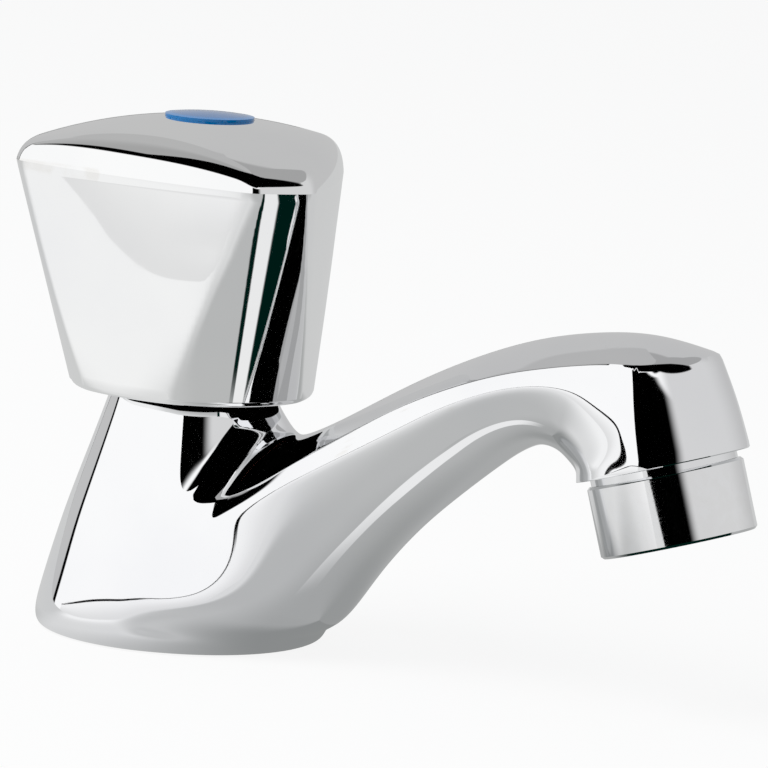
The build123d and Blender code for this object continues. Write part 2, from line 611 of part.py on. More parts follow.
# Rubber ring in the groove under the base
with BuildPart() as base_seal:
    with BuildSketch(Plane.XY):
        Circle(BASE_SEAL_OUT_R - PUSH)
        Circle(BASE_SEAL_IN_R + PUSH, mode=Mode.SUBTRACT)
    extrude(amount=BASE_SEAL_T - PUSH)
base_seal.part.label = "base_seal"
export_step(base_seal.part, "parts/base_seal.step")

# Threaded tail that goes down through the deck
with BuildPart() as tail:
    run = [(TAIL_BORE_R, -TAIL_LENGTH), (TAIL_R - 1.2, -TAIL_LENGTH), (TAIL_R, -TAIL_LENGTH + 1.2)]
    for ring in range(int((TAIL_LENGTH - 1.6 - TAIL_PLAIN) / TAIL_PITCH)):
        ring_z = -TAIL_LENGTH + 1.6 + ring * TAIL_PITCH
        run += [(TAIL_R, ring_z), (TAIL_R - TAIL_RING_DEPTH, ring_z + TAIL_PITCH * 0.4)]
        run += [(TAIL_R, ring_z + TAIL_PITCH * 0.8)]
    run += [(TAIL_R, LAND_RISE), (TAIL_STUB_R, LAND_RISE)]
    run += [(TAIL_STUB_R, TAIL_STUB_L), (TAIL_BORE_R, TAIL_STUB_L)]
    add(turned(run))
tail.part.label = "tail"
export_step(tail.part, "parts/tail.step")

# Rubber clamp washer under the deck
with BuildPart() as clamp_rubber:
    with BuildSketch(Plane.XY.offset(-DECK_T)):
        Circle(CLAMP_R)
        Circle(CLAMP_HOLE_R, mode=Mode.SUBTRACT)
    extrude(amount=-CLAMP_RUBBER_T)
clamp_rubber.part.label = "clamp_rubber"
export_step(clamp_rubber.part, "parts/clamp_rubber.step")

# Metal clamp washer below the rubber one
with BuildPart() as clamp_plate:
    with BuildSketch(Plane.XY.offset(-DECK_T - CLAMP_RUBBER_T)):
        Circle(CLAMP_R)
        Circle(CLAMP_HOLE_R, mode=Mode.SUBTRACT)
    extrude(amount=-CLAMP_METAL_T)
clamp_plate.part.label = "clamp_plate"
export_step(clamp_plate.part, "parts/clamp_plate.step")

# Back nut that pulls the tap down on the deck
with BuildPart() as back_nut:
    nut_top = -DECK_T - CLAMP_RUBBER_T - CLAMP_METAL_T
    with BuildSketch(Plane.XY.offset(nut_top)):
        RegularPolygon(NUT_AF / 2, 6, major_radius=False)
        Circle(TAIL_R + PUSH, mode=Mode.SUBTRACT)
    extrude(amount=-NUT_H)
back_nut.part.label = "back_nut"
export_step(back_nut.part, "parts/back_nut.step")
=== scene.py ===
from math import atan2, cos, pi, radians, sin, sqrt

import bmesh
import bpy
from mathutils import Matrix, Vector


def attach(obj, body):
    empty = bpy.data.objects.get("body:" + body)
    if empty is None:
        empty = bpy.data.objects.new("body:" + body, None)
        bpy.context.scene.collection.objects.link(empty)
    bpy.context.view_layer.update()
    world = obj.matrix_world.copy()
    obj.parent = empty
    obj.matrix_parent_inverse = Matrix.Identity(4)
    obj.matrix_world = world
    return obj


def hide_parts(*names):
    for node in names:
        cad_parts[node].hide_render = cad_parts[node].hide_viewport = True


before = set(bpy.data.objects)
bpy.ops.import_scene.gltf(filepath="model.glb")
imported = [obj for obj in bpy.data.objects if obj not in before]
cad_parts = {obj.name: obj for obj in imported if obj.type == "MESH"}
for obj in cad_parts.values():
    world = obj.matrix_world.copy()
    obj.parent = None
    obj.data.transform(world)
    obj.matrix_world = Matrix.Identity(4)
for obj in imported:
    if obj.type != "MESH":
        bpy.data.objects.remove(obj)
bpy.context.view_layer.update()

# Studio
# The tap stands on a pale deck in a white light tent. Chrome shows the tent: its white left
# wall, the dark opening around the camera, thin seams of the cloth and a grey ceiling.
CAMERA_AZIMUTH = radians(27.93)
CAMERA_ELEVATION = radians(8.38)
CAMERA_ROLL = radians(3.68)
CAMERA_DISTANCE = 0.9
CAMERA_LENS = 269.2
CAMERA_TARGET = Vector((0.03426, 0.0, 0.04411))
TENT_FRONT = atan2(-cos(CAMERA_AZIMUTH), sin(CAMERA_AZIMUTH))
# the greys of the tent's walls, and the ceiling's from the back to the front
BACK_GREY, RIGHT_GREY = 0.54, 0.68
CEILING_GREYS = (0.47, 0.38)
# bearings from the tent's front, in degrees, at which its parts begin and end
BACK_CORNER = (-124.0, -118.0)
BACK_SEAM = (-124.0, -119.8)
OPENING_LEFT, OPENING_RIGHT = (-35.5, -31.5), (14.0, 30.0)
RIGHT_CORNER = (12.0, 30.0)
RIGHT_FADE = (95.0, 150.0)
CEILING_FADE = (-124.0, -90.0)
GAP_ENDS = (-118.0, 75.0)
JOIN_END = (-34.0, -30.0)
# heights in degrees: the opening's top, the ceiling's start, the gap's top and bottom, and the
# join with the deck; steps give two bearings and the heights at them, and add up
OPENING_TOP = (27.5, 29.5)
EAVE_STEPS = ((-126.0, -122.0, 42.0, 31.0), (70.0, 80.0, 0.0, 11.0), (8.0, 20.0, 0.0, 3.2))
GAP_TOP_STEPS = ((-116.0, -84.0, 32.0, 38.0), (-80.0, -66.0, 0.0, 90.0))
GAP_BOTTOM = (30.8, 31.8)
JOIN_HEIGHTS = (-2.0, -0.3)
# painted shade the chrome sees on the deck, left, in front and right: how it pales by distance
# from the foot of the spout, near and further off; then the bearings at which the shades meet
SPOUT_FOOT = 0.03
DECK_SHADES = (
    ((0.012, 0.055, 0.27, 0.72), (0.05, 0.2, 0.0, 0.2)),
    ((0.01, 0.04, 0.38, 0.52), (0.04, 0.22, 0.0, 0.25)),
    ((0.01, 0.04, 0.39, 0.49), (0.09, 0.15, 0.0, 0.25)),
)
DECK_BEHIND = (0.02, 0.07, 0.27, 0.62)
DECK_RIGHT_DIM = (20.0, 100.0, 1.0, 0.82)
BEHIND_TO_LEFT, LEFT_TO_FRONT, FRONT_TO_RIGHT = (-112.0, -94.0), (-62.0, -42.0), (-40.0, -20.0)
# painted light and shade on the deck right of the tap: their bearings, and how far off they start
THIN_LINE, BRIGHT_STRIP, BROAD_BAND = (33.8, 37.2), (37.2, 46.5), (47.0, 74.0)
STRIP_START, LINES_START = (0.04, 0.055), (0.06, 0.076)
# the near left wall: its place, its size, its light below and above its fold, and the heights
# of the fold, which is wider on the left
LEFT_WALL_PLACE = (-0.6155, -0.21, 0.0935)
LEFT_WALL_SIZE = (1.369, 0.185, 1.0)
BELOW_FOLD, ABOVE_FOLD = (0.001, 0.036, 0.78, 0.95), (0.0386, 0.039)
FOLD, WIDE_FOLD, WIDE_FOLD_END = (0.0369, 0.0388), (0.0348, 0.038), (-0.02, 0.02)

camera_data = bpy.data.cameras.new("camera")
camera_data.sensor_width = 36
camera_data.lens = CAMERA_LENS
camera_data.clip_end = 20
camera = bpy.data.objects.new("camera", camera_data)
bpy.context.scene.collection.objects.link(camera)
back = Vector((
    sin(CAMERA_AZIMUTH) * cos(CAMERA_ELEVATION),
    -cos(CAMERA_AZIMUTH) * cos(CAMERA_ELEVATION),
    sin(CAMERA_ELEVATION),
))
turn = (
    Matrix.Rotation(CAMERA_AZIMUTH, 4, "Z")
    @ Matrix.Rotation(pi / 2 - CAMERA_ELEVATION, 4, "X")
    @ Matrix.Rotation(CAMERA_ROLL, 4, "Z")
)
camera.matrix_world = Matrix.Translation(CAMERA_TARGET + back * CAMERA_DISTANCE) @ turn
bpy.context.scene.camera = camera
bpy.context.scene.view_settings.view_transform = "Standard"


def feed(tree, socket, value):
    """Sets a socket to a number or a colour, or links it to another node's output."""
    if isinstance(value, tuple):
        socket.default_value = (*value, 1.0)
    elif isinstance(value, (int, float)):
        socket.default_value = value
    elif value is not None:
        tree.links.new(value, socket)


def number(tree, operation, first, second=None, third=None):
    """A Math node; each input is a number or another node's output."""
    node = tree.nodes.new("ShaderNodeMath")
    node.operation = operation
    for slot, value in enumerate((first, second, third)):
        feed(tree, node.inputs[slot], value)
    return node.outputs[0]


def product(tree, first, *others):
    """Several numbers multiplied together."""
    for other in others:
        first = number(tree, "MULTIPLY", first, other)
    return first


def ramp(tree, value, low, high, start=0.0, end=1.0):
    """A smooth step of value from start at low to end at high."""
    node = tree.nodes.new("ShaderNodeMapRange")
    node.interpolation_type = "SMOOTHSTEP"
    tree.links.new(value, node.inputs["Value"])
    for name, amount in (("From Min", low), ("From Max", high), ("To Min", start), ("To Max", end)):
        feed(tree, node.inputs[name], amount)
    return node.outputs["Result"]


def stretch(tree, value, low, high, soft):
    """One between low and high, nothing outside, with soft edges."""
    rise = ramp(tree, value, low - soft, low + soft)
    fall = ramp(tree, value, high - soft, high + soft, 1.0, 0.0)
    return number(tree, "MULTIPLY", rise, fall)


def between(tree, first, second, share):
    """A plain blend of two numbers."""
    node = tree.nodes.new("ShaderNodeMix")
    node.data_type = "FLOAT"
    for slot, value in ((2, first), (3, second), (0, share)):
        feed(tree, node.inputs[slot], value)
    return node.outputs[0]


def shades(tree, first, second, share):
    """A blend of two colours; each is three numbers or another node's output."""
    node = tree.nodes.new("ShaderNodeMix")
    node.data_type = "RGBA"
    for label, value in (("Factor", share), ("A", first), ("B", second)):
        feed(tree, node.inputs[label], value)
    return node.outputs["Result"]


def shut(tree, light, gap):
    """Darkens the light where the gap is one."""
    return number(tree, "MULTIPLY", light, number(tree, "SUBTRACT", 1.0, gap))


def axes_of(tree, point):
    """The X, Y and Z of a place."""
    split = tree.nodes.new("ShaderNodeSeparateXYZ")
    tree.links.new(point, split.inputs[0])
    return split.outputs["X"], split.outputs["Y"], split.outputs["Z"]


def bearing(tree, x, y):
    """Angle in degrees around the tap from the tent's front, from -180 to 180."""
    around = number(tree, "ARCTAN2", y, x)
    around = number(tree, "SUBTRACT", around, TENT_FRONT)
    around = number(tree, "WRAP", around, pi, -pi)
    return number(tree, "MULTIPLY", around, 180 / pi)


def distance(tree, x, y):
    """Distance from the upright line through the origin."""
    return number(tree, "SQRT", number(tree, "MULTIPLY_ADD", y, y, number(tree, "MULTIPLY", x, x)))


def fresh_tree(owner):
    """The emptied node tree of a world or a material."""
    owner.use_nodes = True
    owner.node_tree.nodes.clear()
    return owner.node_tree


def new_shader(tree, kind, colour=None, strength=None):
    """A simple shader of a kind, with its colour and strength where they are given."""
    node = tree.nodes.new(kind)
    for label, value in (("Color", colour), ("Strength", strength)):
        if value is not None:
            feed(tree, node.inputs[label], value)
    return node.outputs[0]


def mix_shaders(tree, share, first, second):
    """A blend of two shaders, where a share of one shows the second."""
    node = tree.nodes.new("ShaderNodeMixShader")
    for slot, value in enumerate((share, first, second)):
        feed(tree, node.inputs[slot], value)
    return node.outputs[0]


world = bpy.data.worlds.new("light_tent")
bpy.context.scene.world = world
tree = fresh_tree(world)
x, y, z = axes_of(tree, tree.nodes.new("ShaderNodeTexCoord").outputs["Generated"])
across = bearing(tree, x, y)
above = number(tree, "MULTIPLY", number(tree, "ARCSINE", z), 180 / pi)

# the walls: grey behind, white on the left, grey on the right, with a dark seam at the back
wall = ramp(tree, across, *BACK_CORNER, BACK_GREY, 1.0)
right = ramp(tree, across, *RIGHT_FADE, RIGHT_GREY, BACK_GREY)
wall = between(tree, wall, right, ramp(tree, across, *RIGHT_CORNER))
wall = shut(tree, wall, stretch(tree, across, *BACK_SEAM, 0.5))
# the opening for the camera
wall = shut(tree, wall, product(
    tree,
    ramp(tree, across, *OPENING_LEFT),
    ramp(tree, across, *OPENING_RIGHT, 1.0, 0.0),
    ramp(tree, above, *OPENING_TOP, 1.0, 0.0),
))
# the ceiling, which starts higher behind the tap, and a gap along it that is wide open in
# front; both start a little higher to the right
eave, behind, rise = (ramp(tree, across, *step) for step in EAVE_STEPS)
eave = number(tree, "ADD", number(tree, "ADD", eave, behind), rise)
over = ramp(tree, number(tree, "SUBTRACT", above, eave), -1.0, 1.0)
light = between(tree, wall, ramp(tree, across, *CEILING_FADE, *CEILING_GREYS), over)
gap_top = number(tree, "ADD", *(ramp(tree, across, *step) for step in GAP_TOP_STEPS))
light = shut(tree, light, product(
    tree,
    ramp(tree, number(tree, "SUBTRACT", above, gap_top), -0.5, 0.5, 1.0, 0.0),
    ramp(tree, number(tree, "SUBTRACT", above, rise), *GAP_BOTTOM),
    stretch(tree, across, *GAP_ENDS, 3.0),
))
# the dark join of wall and deck
join = stretch(tree, above, *JOIN_HEIGHTS, 0.2)
light = shut(tree, light, product(tree, join, ramp(tree, across, *JOIN_END, 1.0, 0.0)))

rays = tree.nodes.new("ShaderNodeLightPath").outputs
tent = new_shader(tree, "ShaderNodeBackground", light)
plain = new_shader(tree, "ShaderNodeBackground", (1.0, 1.0, 1.0))
soft = new_shader(tree, "ShaderNodeBackground", (0.72, 0.74, 0.76), 0.7)
by_gloss = mix_shaders(tree, rays["Is Glossy Ray"], soft, tent)
seen = number(tree, "MAXIMUM", rays["Is Camera Ray"], rays["Is Transmission Ray"])
sky = tree.nodes.new("ShaderNodeOutputWorld")
tree.links.new(mix_shaders(tree, seen, by_gloss, plain), sky.inputs["Surface"])

# the deck, white to the eye; the chrome sees it glow pale, with a painted shadow near the tap
bpy.ops.object.select_all(action="DESELECT")
bpy.ops.mesh.primitive_plane_add(size=6.0, location=(0, 0, 0))
deck = bpy.context.object
deck.name = "deck"
cloth = bpy.data.materials.new("deck_cloth")
tree = fresh_tree(cloth)
x, y, z = axes_of(tree, tree.nodes.new("ShaderNodeTexCoord").outputs["Object"])
from_spout = number(tree, "SUBTRACT", x, SPOUT_FOOT)
across = bearing(tree, from_spout, y)
away = distance(tree, from_spout, y)
left, middle, right = (
    number(tree, "ADD", ramp(tree, away, *near), ramp(tree, away, *far))
    for near, far in DECK_SHADES
)
right = product(tree, right, ramp(tree, across, *DECK_RIGHT_DIM))
shade = between(tree, left, middle, ramp(tree, across, *LEFT_TO_FRONT))
shade = between(tree, shade, right, ramp(tree, across, *FRONT_TO_RIGHT))
behind = ramp(tree, away, *DECK_BEHIND)
shade = between(tree, behind, shade, ramp(tree, across, *BEHIND_TO_LEFT))
# to the right of the tap, painted light and shade: a thin line, a bright strip and a broad dark
# one run away from it
across = bearing(tree, x, y)
away = distance(tree, x, y)
strip = product(tree, stretch(tree, across, *BRIGHT_STRIP, 0.4), ramp(tree, away, *STRIP_START))
shade = between(tree, shade, 0.86, strip)
line, broad = stretch(tree, across, *THIN_LINE, 0.5), stretch(tree, across, *BROAD_BAND, 0.6)
lines = product(tree, number(tree, "ADD", line, broad), ramp(tree, away, *LINES_START))
shade = shut(tree, shade, lines)
mirrored = shades(tree, (0.0, 0.011, 0.008), (1.0, 1.0, 1.0), shade)
rays = tree.nodes.new("ShaderNodeLightPath").outputs
matt = new_shader(tree, "ShaderNodeBsdfDiffuse", (0.85, 0.85, 0.85))
eye = mix_shaders(tree, 0.12, new_shader(tree, "ShaderNodeEmission", (1.0, 1.0, 1.0)), matt)
mirror = new_shader(tree, "ShaderNodeEmission", mirrored)
by_gloss = mix_shaders(tree, rays["Is Glossy Ray"], matt, mirror)
by_eye = mix_shaders(tree, rays["Is Camera Ray"], by_gloss, eye)
below = tree.nodes.new("ShaderNodeNewGeometry").outputs["Backfacing"]
clear = new_shader(tree, "ShaderNodeBsdfTransparent")
out = tree.nodes.new("ShaderNodeOutputMaterial")
tree.links.new(mix_shaders(tree, below, by_eye, clear), out.inputs["Surface"])
deck.data.materials.append(cloth)

# the tent's near left wall, with its fold above the deck; only the chrome sees it
bpy.ops.object.select_all(action="DESELECT")
bpy.ops.mesh.primitive_plane_add(size=1.0, location=LEFT_WALL_PLACE, rotation=(pi / 2, 0, 0))
panel = bpy.context.object
panel.name = "left_wall"
panel.scale = LEFT_WALL_SIZE
bpy.ops.object.transform_apply(location=True, rotation=True, scale=True)
sheet = bpy.data.materials.new("panel_sheet")
tree = fresh_tree(sheet)
x, y, z = axes_of(tree, tree.nodes.new("ShaderNodeTexCoord").outputs["Object"])
lit = ramp(tree, z, *BELOW_FOLD)
lit = between(tree, lit, 1.0, ramp(tree, z, *ABOVE_FOLD))
wide = ramp(tree, x, *WIDE_FOLD_END, 1.0, 0.0)
wide = product(tree, stretch(tree, z, *WIDE_FOLD, 0.0003), wide)
lit = shut(tree, shut(tree, lit, wide), stretch(tree, z, *FOLD, 0.0002))
rays = tree.nodes.new("ShaderNodeLightPath").outputs
clear = new_shader(tree, "ShaderNodeBsdfTransparent")
glow = new_shader(tree, "ShaderNodeEmission", lit)
out = tree.nodes.new("ShaderNodeOutputMaterial")
by_gloss = mix_shaders(tree, rays["Is Glossy Ray"], clear, glow)
tree.links.new(by_gloss, out.inputs["Surface"])
panel.data.materials.append(sheet)
panel.visible_shadow = False
panel.visible_diffuse = False

lamp_data = bpy.data.lights.new("softbox", "AREA")
lamp_data.shape = "RECTANGLE"
lamp_data.size = lamp_data.size_y = 0.9
lamp_data.energy = 9.0
softbox = bpy.data.objects.new("softbox", lamp_data)
bpy.context.scene.collection.objects.link(softbox)
softbox.location = (-0.5, -0.5, 0.9)
facing = Vector((0, 0, 0.04)) - softbox.location
softbox.rotation_euler = facing.to_track_quat("-Z", "Y").to_euler()
softbox.visible_glossy = False

# Body
# One brass casting, polished and chrome plated: a flared column, a spout that rises out of
# its front and a round head with a soft crowned top. The blend of spout and column has no
# primitive to start from, so its rings are set point by point and then subdivided.
MM = 0.001
SMOOTH_ANGLE = radians(35)
FINE_BUMPS = 0.000004
# the column's outline: height and radius
COLUMN_PROFILE = [
    (0.0, 22.1), (0.45, 23.15), (1.7, 23.5), (3.6, 23.42), (8.3, 22.36), (15.0, 20.64),
    (21.5, 18.77), (28.15, 16.58), (34.3, 14.6), (38.5, 13.3), (40.6, 12.8), (42.0, 12.8),
]
# height, and the half angle of the stretch that opens into the spout
COLUMN_RINGS = [
    (0.0, 76), (0.45, 76), (1.7, 76), (3.6, 76), (7.5, 75), (12.0, 73), (16.5, 70), (20.5, 66),
    (25.5, 60), (30.0, 56), (34.5, 52), (38.3, 48), (40.8, 45), (42.0, 45),
]
OPENING_FIRST, OPENING_LAST = 3, 8
# how far the column stands out beside the spout's root, by ring, and its shares further round
BASE_BULGE = {2: -0.2, 3: -0.1, 4: 0.5, 5: 0.6, 6: 0.2}
BESIDE_SHARES = (1.0, 0.75, 0.4, 0.15)
# in front the rings run out under the spout and sit lower, by ring: how far out at four places
# from the middle to the side, and their height
FRONT_RINGS = {
    1: ((0.2, 0.2, 0.0, -0.3), 0.4),
    2: ((0.7, 0.6, 0.1, -0.35), 1.4),
    3: ((1.5, 1.3, 0.4, -0.3), 2.7),
}
# over the opening the rings rise to the spout's neck: angle, height and bulge at five places
NECK_FRONT = {
    8: ((60, 23.5, 0.0), (51.2, 28.9, 0.0), (41, 33.5, 0.1), (21.5, 37.0, 0.8), (0, 38.6, 2.1)),
    9: ((57, 29.0, 0.0), (46, 33.0, 0.0), (34, 36.0, 0.1), (17, 38.4, 0.7), (0, 39.5, 1.5)),
    10: ((53, 34.2, 0.0), (41, 36.2, 0.0), (29, 38.0, 0.1), (14, 39.4, 0.3), (0, 40.2, 0.8)),
    11: ((48, 38.0, 0.0), (36, 38.8, 0.0), (24, 39.6, 0.0), (12, 40.3, 0.1), (0, 40.7, 0.2)),
}
# the column's inside, from the top down: height and radius
COLUMN_BORE = [
    (42.0, 10.02), (14.0, 10.02), (14.0, 7.62), (9.0, 7.62), (9.0, 9.02), (0.5, 9.02),
    (0.5, 17.02), (1.8, 17.02), (1.8, 20.5), (0.0, 20.5),
]
# underside point, crown point, widest half width, depth of the widest place
SPOUT_ROWS = [
    ((23.2, 0.0), (-16.0, 0.0), 22.6, 16.0),
    ((29.0, 5.5), (-10.0, 9.0), 21.9, 12.5),
    ((34.8, 13.8), (-3.0, 20.0), 17.3, 14.0),
    ((41.4, 21.6), (6.0, 28.8), 14.7, 15.6),
    ((48.0, 27.7), (17.5, 33.6), 13.5, 13.3),
    ((54.5, 33.3), (33.0, 41.6), 12.8, 10.2),
    ((59.2, 36.9), (47.5, 49.4), 12.4, 7.3),
    ((63.2, 38.8), (60.5, 54.7), 12.2, 6.9),
    ((67.2, 38.0), (72.0, 57.0), 12.1, 8.5),
    ((69.3, 36.2), (80.5, 57.7), 12.2, 13.0),
]
# each ring of the spout: underside row, two side rows, shoulder edge, crown point, crown bend
SPOUT_RINGS = [
    (0.8, (1.25, 1.9), (12.3, 14.7, 24.0), (16.6, 36.8), 1.6),
    (1.4, (1.85, 2.35), (15.6, 14.0, 25.2), (17.8, 35.0), 1.6),
    (2.1, (2.45, 2.75), (19.2, 13.4, 27.3), (19.4, 34.0), 1.7),
    (3.0, (3.1, 3.25), (23.4, 12.9, 30.1), (22.6, 35.1), 1.9),
    (3.8, (3.85, 3.95), (28.6, 12.5, 33.5), (26.8, 37.3), 2.0),
    (4.5, (4.55, 4.6), (34.2, 12.1, 37.1), (31.8, 40.3), 2.0),
    (5.2, (5.25, 5.3), (41.5, 11.7, 41.9), (38.6, 44.5), 2.0),
    (5.9, (5.9, 5.95), (50.0, 11.5, 46.3), (47.6, 49.4), 2.0),
    (7.0, (7.0, 7.0), (60.8, 11.4, 50.5), (60.0, 54.7), 2.0),
    (8.0, (8.0, 8.0), (71.5, 11.4, 52.8), (71.5, 57.1), 2.0),
    (9.0, (9.0, 9.0), (79.5, 11.6, 54.2), (80.5, 57.8), 2.0),
]
LOW_ANGLES = [135, 146, 157, 168.5, 180]
FLANK_ANGLES = (115, 90)
FLANK_SHARES = (0.66, 0.24)
# the spout's rows between which its flanks fill out from flat to round
FLANK_FLAT, FLANK_ROUND = 1.5, 4.0
CROWN_SHARES = [1.0, 0.76, 0.5, 0.25, 0.0]
# how sharp the shoulders are, ring by ring
SHOULDER_EDGE = [0.9, 0.9, 0.85, 0.8, 0.75, 0.65, 0.7, 0.75, 0.75, 0.75, 0.75, 0.75]
SHOULDERS = (13, 21)
NOSE_RING, MOUTH_RING = 12, 14
MOUTH = Vector((83.4, 0.0, 37.8))
OUTLET_TILT = radians(17.5)
OUTLET_UP = Vector((-sin(OUTLET_TILT), 0, cos(OUTLET_TILT)))
OUTLET_FRONT = Vector((cos(OUTLET_TILT), 0, sin(OUTLET_TILT)))
# the head's radius by height above the mouth, in front and at the back
HEAD_RADII = [(0.0, 13.8), (7.0, 13.5), (11.3, 12.8), (14.0, 12.25), (18.0, 12.0), (24.0, 11.9)]
HEAD_BACK_RADII = [(0.0, 13.8), (3.5, 13.0), (7.0, 12.3), (10.0, 11.9), (24.0, 11.9)]
HEAD_BACK_ANGLES = (80, 105)
# the crowned top: x, height of the middle line and radius across it
CROWN_LINE = [
    (52.0, 52.2, 15.5), (62.0, 55.2, 17.0), (73.0, 57.2, 18.5), (84.0, 57.7, 19.5),
    (96.0, 54.0, 19.5),
]
MOUTH_ANGLES = [118, 132, 147, 163, 180]
SIDE_ANGLES = [106, 96, 87, 79]
NOSE_ANGLES = [68, 52, 35, 17, 0]
# rings of the head's wall: heights below, at the sides and at the nose, which is first cut
# where the wall meets the crowned top
HEAD_RINGS = [
    (1.8, (3.2, 5.5, 8.5, 11.5), None),
    (0.8, (1.9, 3.2, 4.8, 6.2), 7.5),
    (0.0, (0.0, 0.0, 0.0, 0.0), 0.0),
]
# the nozzle and the outlet's bore: radius and depth below the mouth
NECK_RINGS = [(11.6, 0.0), (11.6, 1.08), (11.0, 1.08), (11.0, 7.6), (8.9, 7.6), (8.9, -11.0)]


def along(table, position):
    """Smooth values between the rows of a table."""
    first = max(0, min(len(table) - 2, int(position)))
    share = position - first
    spots = [table[max(0, min(len(table) - 1, first + step))] for step in (-1, 0, 1, 2)]

    def smooth(a, b, c, d):
        if isinstance(a, tuple):
            return tuple(smooth(*four) for four in zip(a, b, c, d))
        return b + 0.5 * share * (
            c - a + share * (2 * a - 5 * b + 4 * c - d + share * (3 * (b - c) + d - a))
        )

    return smooth(*spots)


def in_table(table, value):
    """Straight-line values between the rows of a table, by its first column."""
    for low, high in zip(table, table[1:]):
        if value <= high[0]:
            break
    share = (value - low[0]) / (high[0] - low[0])
    return [a + (b - a) * share for a, b in zip(low[1:], high[1:])]


def spout_point(position, angle, side):
    """A point of the spout's underside or flank, at an angle round its lower ellipse."""
    low, top, widest, depth = along(SPOUT_ROWS, position)
    low, top = Vector((low[0], 0, low[1])), Vector((top[0], 0, top[1]))
    height = (low - top).length
    down = depth - (height - depth) * cos(radians(angle))
    across = widest * sin(radians(angle))
    return top + (low - top) * (down / height) + Vector((0, side * across, 0))


def flank_point(position, edge, share, side):
    """A point between the shoulder edge and the widest place below it."""
    wide = spout_point(position, 90, 1)
    edge = Vector(edge)
    spot = edge + (wide - edge) * share
    fullness = max(0.0, min(1.0, (position - FLANK_FLAT) / (FLANK_ROUND - FLANK_FLAT)))
    outward = share + (sin(share * pi / 2) - share) * fullness
    spot.y = side * (edge.y + (wide.y - edge.y) * outward)
    return spot


def crown_point(edge, crown, bend, index, side):
    """A point of the crowned top, from the shoulder edge to the middle."""
    share = CROWN_SHARES[index]
    spot = Vector((crown[0] + (edge[0] - crown[0]) * share**1.3, side * edge[1] * share, 0))
    spot.z = crown[1] + (edge[2] - crown[1]) * share**bend
    return spot


def head_point(rise, angle, side):
    """A point of the head's round wall, by its height above the mouth and its angle."""
    start, end = HEAD_BACK_ANGLES
    back = max(0.0, min(1.0, (angle - start) / (end - start)))
    radius = in_table(HEAD_RADII, rise)[0] * (1 - back) + in_table(HEAD_BACK_RADII, rise)[0] * back
    angle = radians(angle)
    out = OUTLET_FRONT * cos(angle) + Vector((0, side * sin(angle), 0))
    return MOUTH + OUTLET_UP * rise + out * radius


def nose_point(angle, side):
    """Where the head's round wall meets its crowned top, by halving."""
    low, high = 6.0, 24.0
    for step in range(30):
        rise = (low + high) / 2
        spot = head_point(rise, angle, side)
        top, bend = in_table(CROWN_LINE, spot.x)
        if spot.z < top - bend + sqrt(bend * bend - spot.y * spot.y):
            low = rise
        else:
            high = rise
    return spot


def full_ring(low, side, crown):
    """The 26 points of a ring, from the left underside round by the right to the left."""
    ring = [low(index, -1) for index in range(5)] + [low(index, 1) for index in (3, 2, 1, 0)]
    ring += [side(index, 1) for index in range(4)]
    ring += [crown(index, 1) for index in range(5)] + [crown(index, -1) for index in (3, 2, 1, 0)]
    return ring + [side(index, -1) for index in (3, 2, 1, 0)]


casting = bmesh.new()
sharp = casting.edges.layers.float.new("crease_edge")


def add_ring(points):
    return [casting.verts.new(point) for point in points]


def fill_between(first, second, skip=()):
    for index in range(len(first)):
        if index not in skip:
            after = (index + 1) % len(first)
            casting.faces.new((first[index], first[after], second[after], second[index]))


def crease(ring, amount, part=None):
    """Sharpens the edges along a ring, or along part of it."""
    for index in part or range(len(ring)):
        edge = casting.edges.get((ring[index], ring[(index + 1) % len(ring)]))
        edge[sharp] = amount


# 24 points a ring: nine over the opening, from side to side, and the rest round the back
column = []
for level, (height, half) in enumerate(COLUMN_RINGS):
    ring = []
    for index in range(24):
        rise, bulge = height, 0.0
        if index > 8:
            angle = half + (index - 8) * (360 - 2 * half) / 16
        elif level in NECK_FRONT:
            angle, rise, bulge = NECK_FRONT[level][4 - abs(index - 4)]
            angle = -angle if index < 4 else angle
        else:
            angle = -half + index * half / 4
        beside = min(abs(index - 8), abs(index - 24), abs(index))
        low_height = height
        if level in FRONT_RINGS and 0 < index < 8:
            fronts, low_height = FRONT_RINGS[level]
            bulge += fronts[abs(index - 4)]
        if beside < len(BESIDE_SHARES):
            bulge += BASE_BULGE.get(level, 0.0) * BESIDE_SHARES[beside]
        reach = in_table(COLUMN_PROFILE, rise)[0] + bulge
        rise = low_height if level in FRONT_RINGS else rise
        ring.append(Vector((reach * cos(radians(angle)), reach * sin(radians(angle)), rise)))
    column.append(add_ring(ring))
for level in range(len(column) - 1):
    gap = range(8) if OPENING_FIRST <= level < OPENING_LAST else ()
    fill_between(column[level], column[level + 1], gap)

opening = column[OPENING_FIRST][:9]
opening += [column[level][8] for level in range(OPENING_FIRST + 1, OPENING_LAST)]
opening += column[OPENING_LAST][8::-1]
opening += [column[level][0] for level in range(OPENING_LAST - 1, OPENING_FIRST, -1)]
spout = [opening]
for low_row, side_rows, edge, crown, bend in SPOUT_RINGS:
    def side_point(index, side):
        if index < 2:
            return spout_point(side_rows[index], FLANK_ANGLES[index], side)
        return flank_point(side_rows[1], edge, FLANK_SHARES[index - 2], side)
    spout.append(add_ring(full_ring(
        lambda index, side: spout_point(low_row, LOW_ANGLES[index], side),
        side_point,
        lambda index, side: crown_point(edge, crown, bend, index, side),
    )))
for low_rise, side_rises, nose_rise in HEAD_RINGS:
    spout.append(add_ring(full_ring(
        lambda index, side: head_point(low_rise, MOUTH_ANGLES[index], side),
        lambda index, side: head_point(side_rises[index], SIDE_ANGLES[index], side),
        lambda index, side: nose_point(NOSE_ANGLES[index], side)
        if nose_rise is None else head_point(nose_rise, NOSE_ANGLES[index], side),
    )))
for first, second in zip(spout, spout[1:]):
    fill_between(first, second)
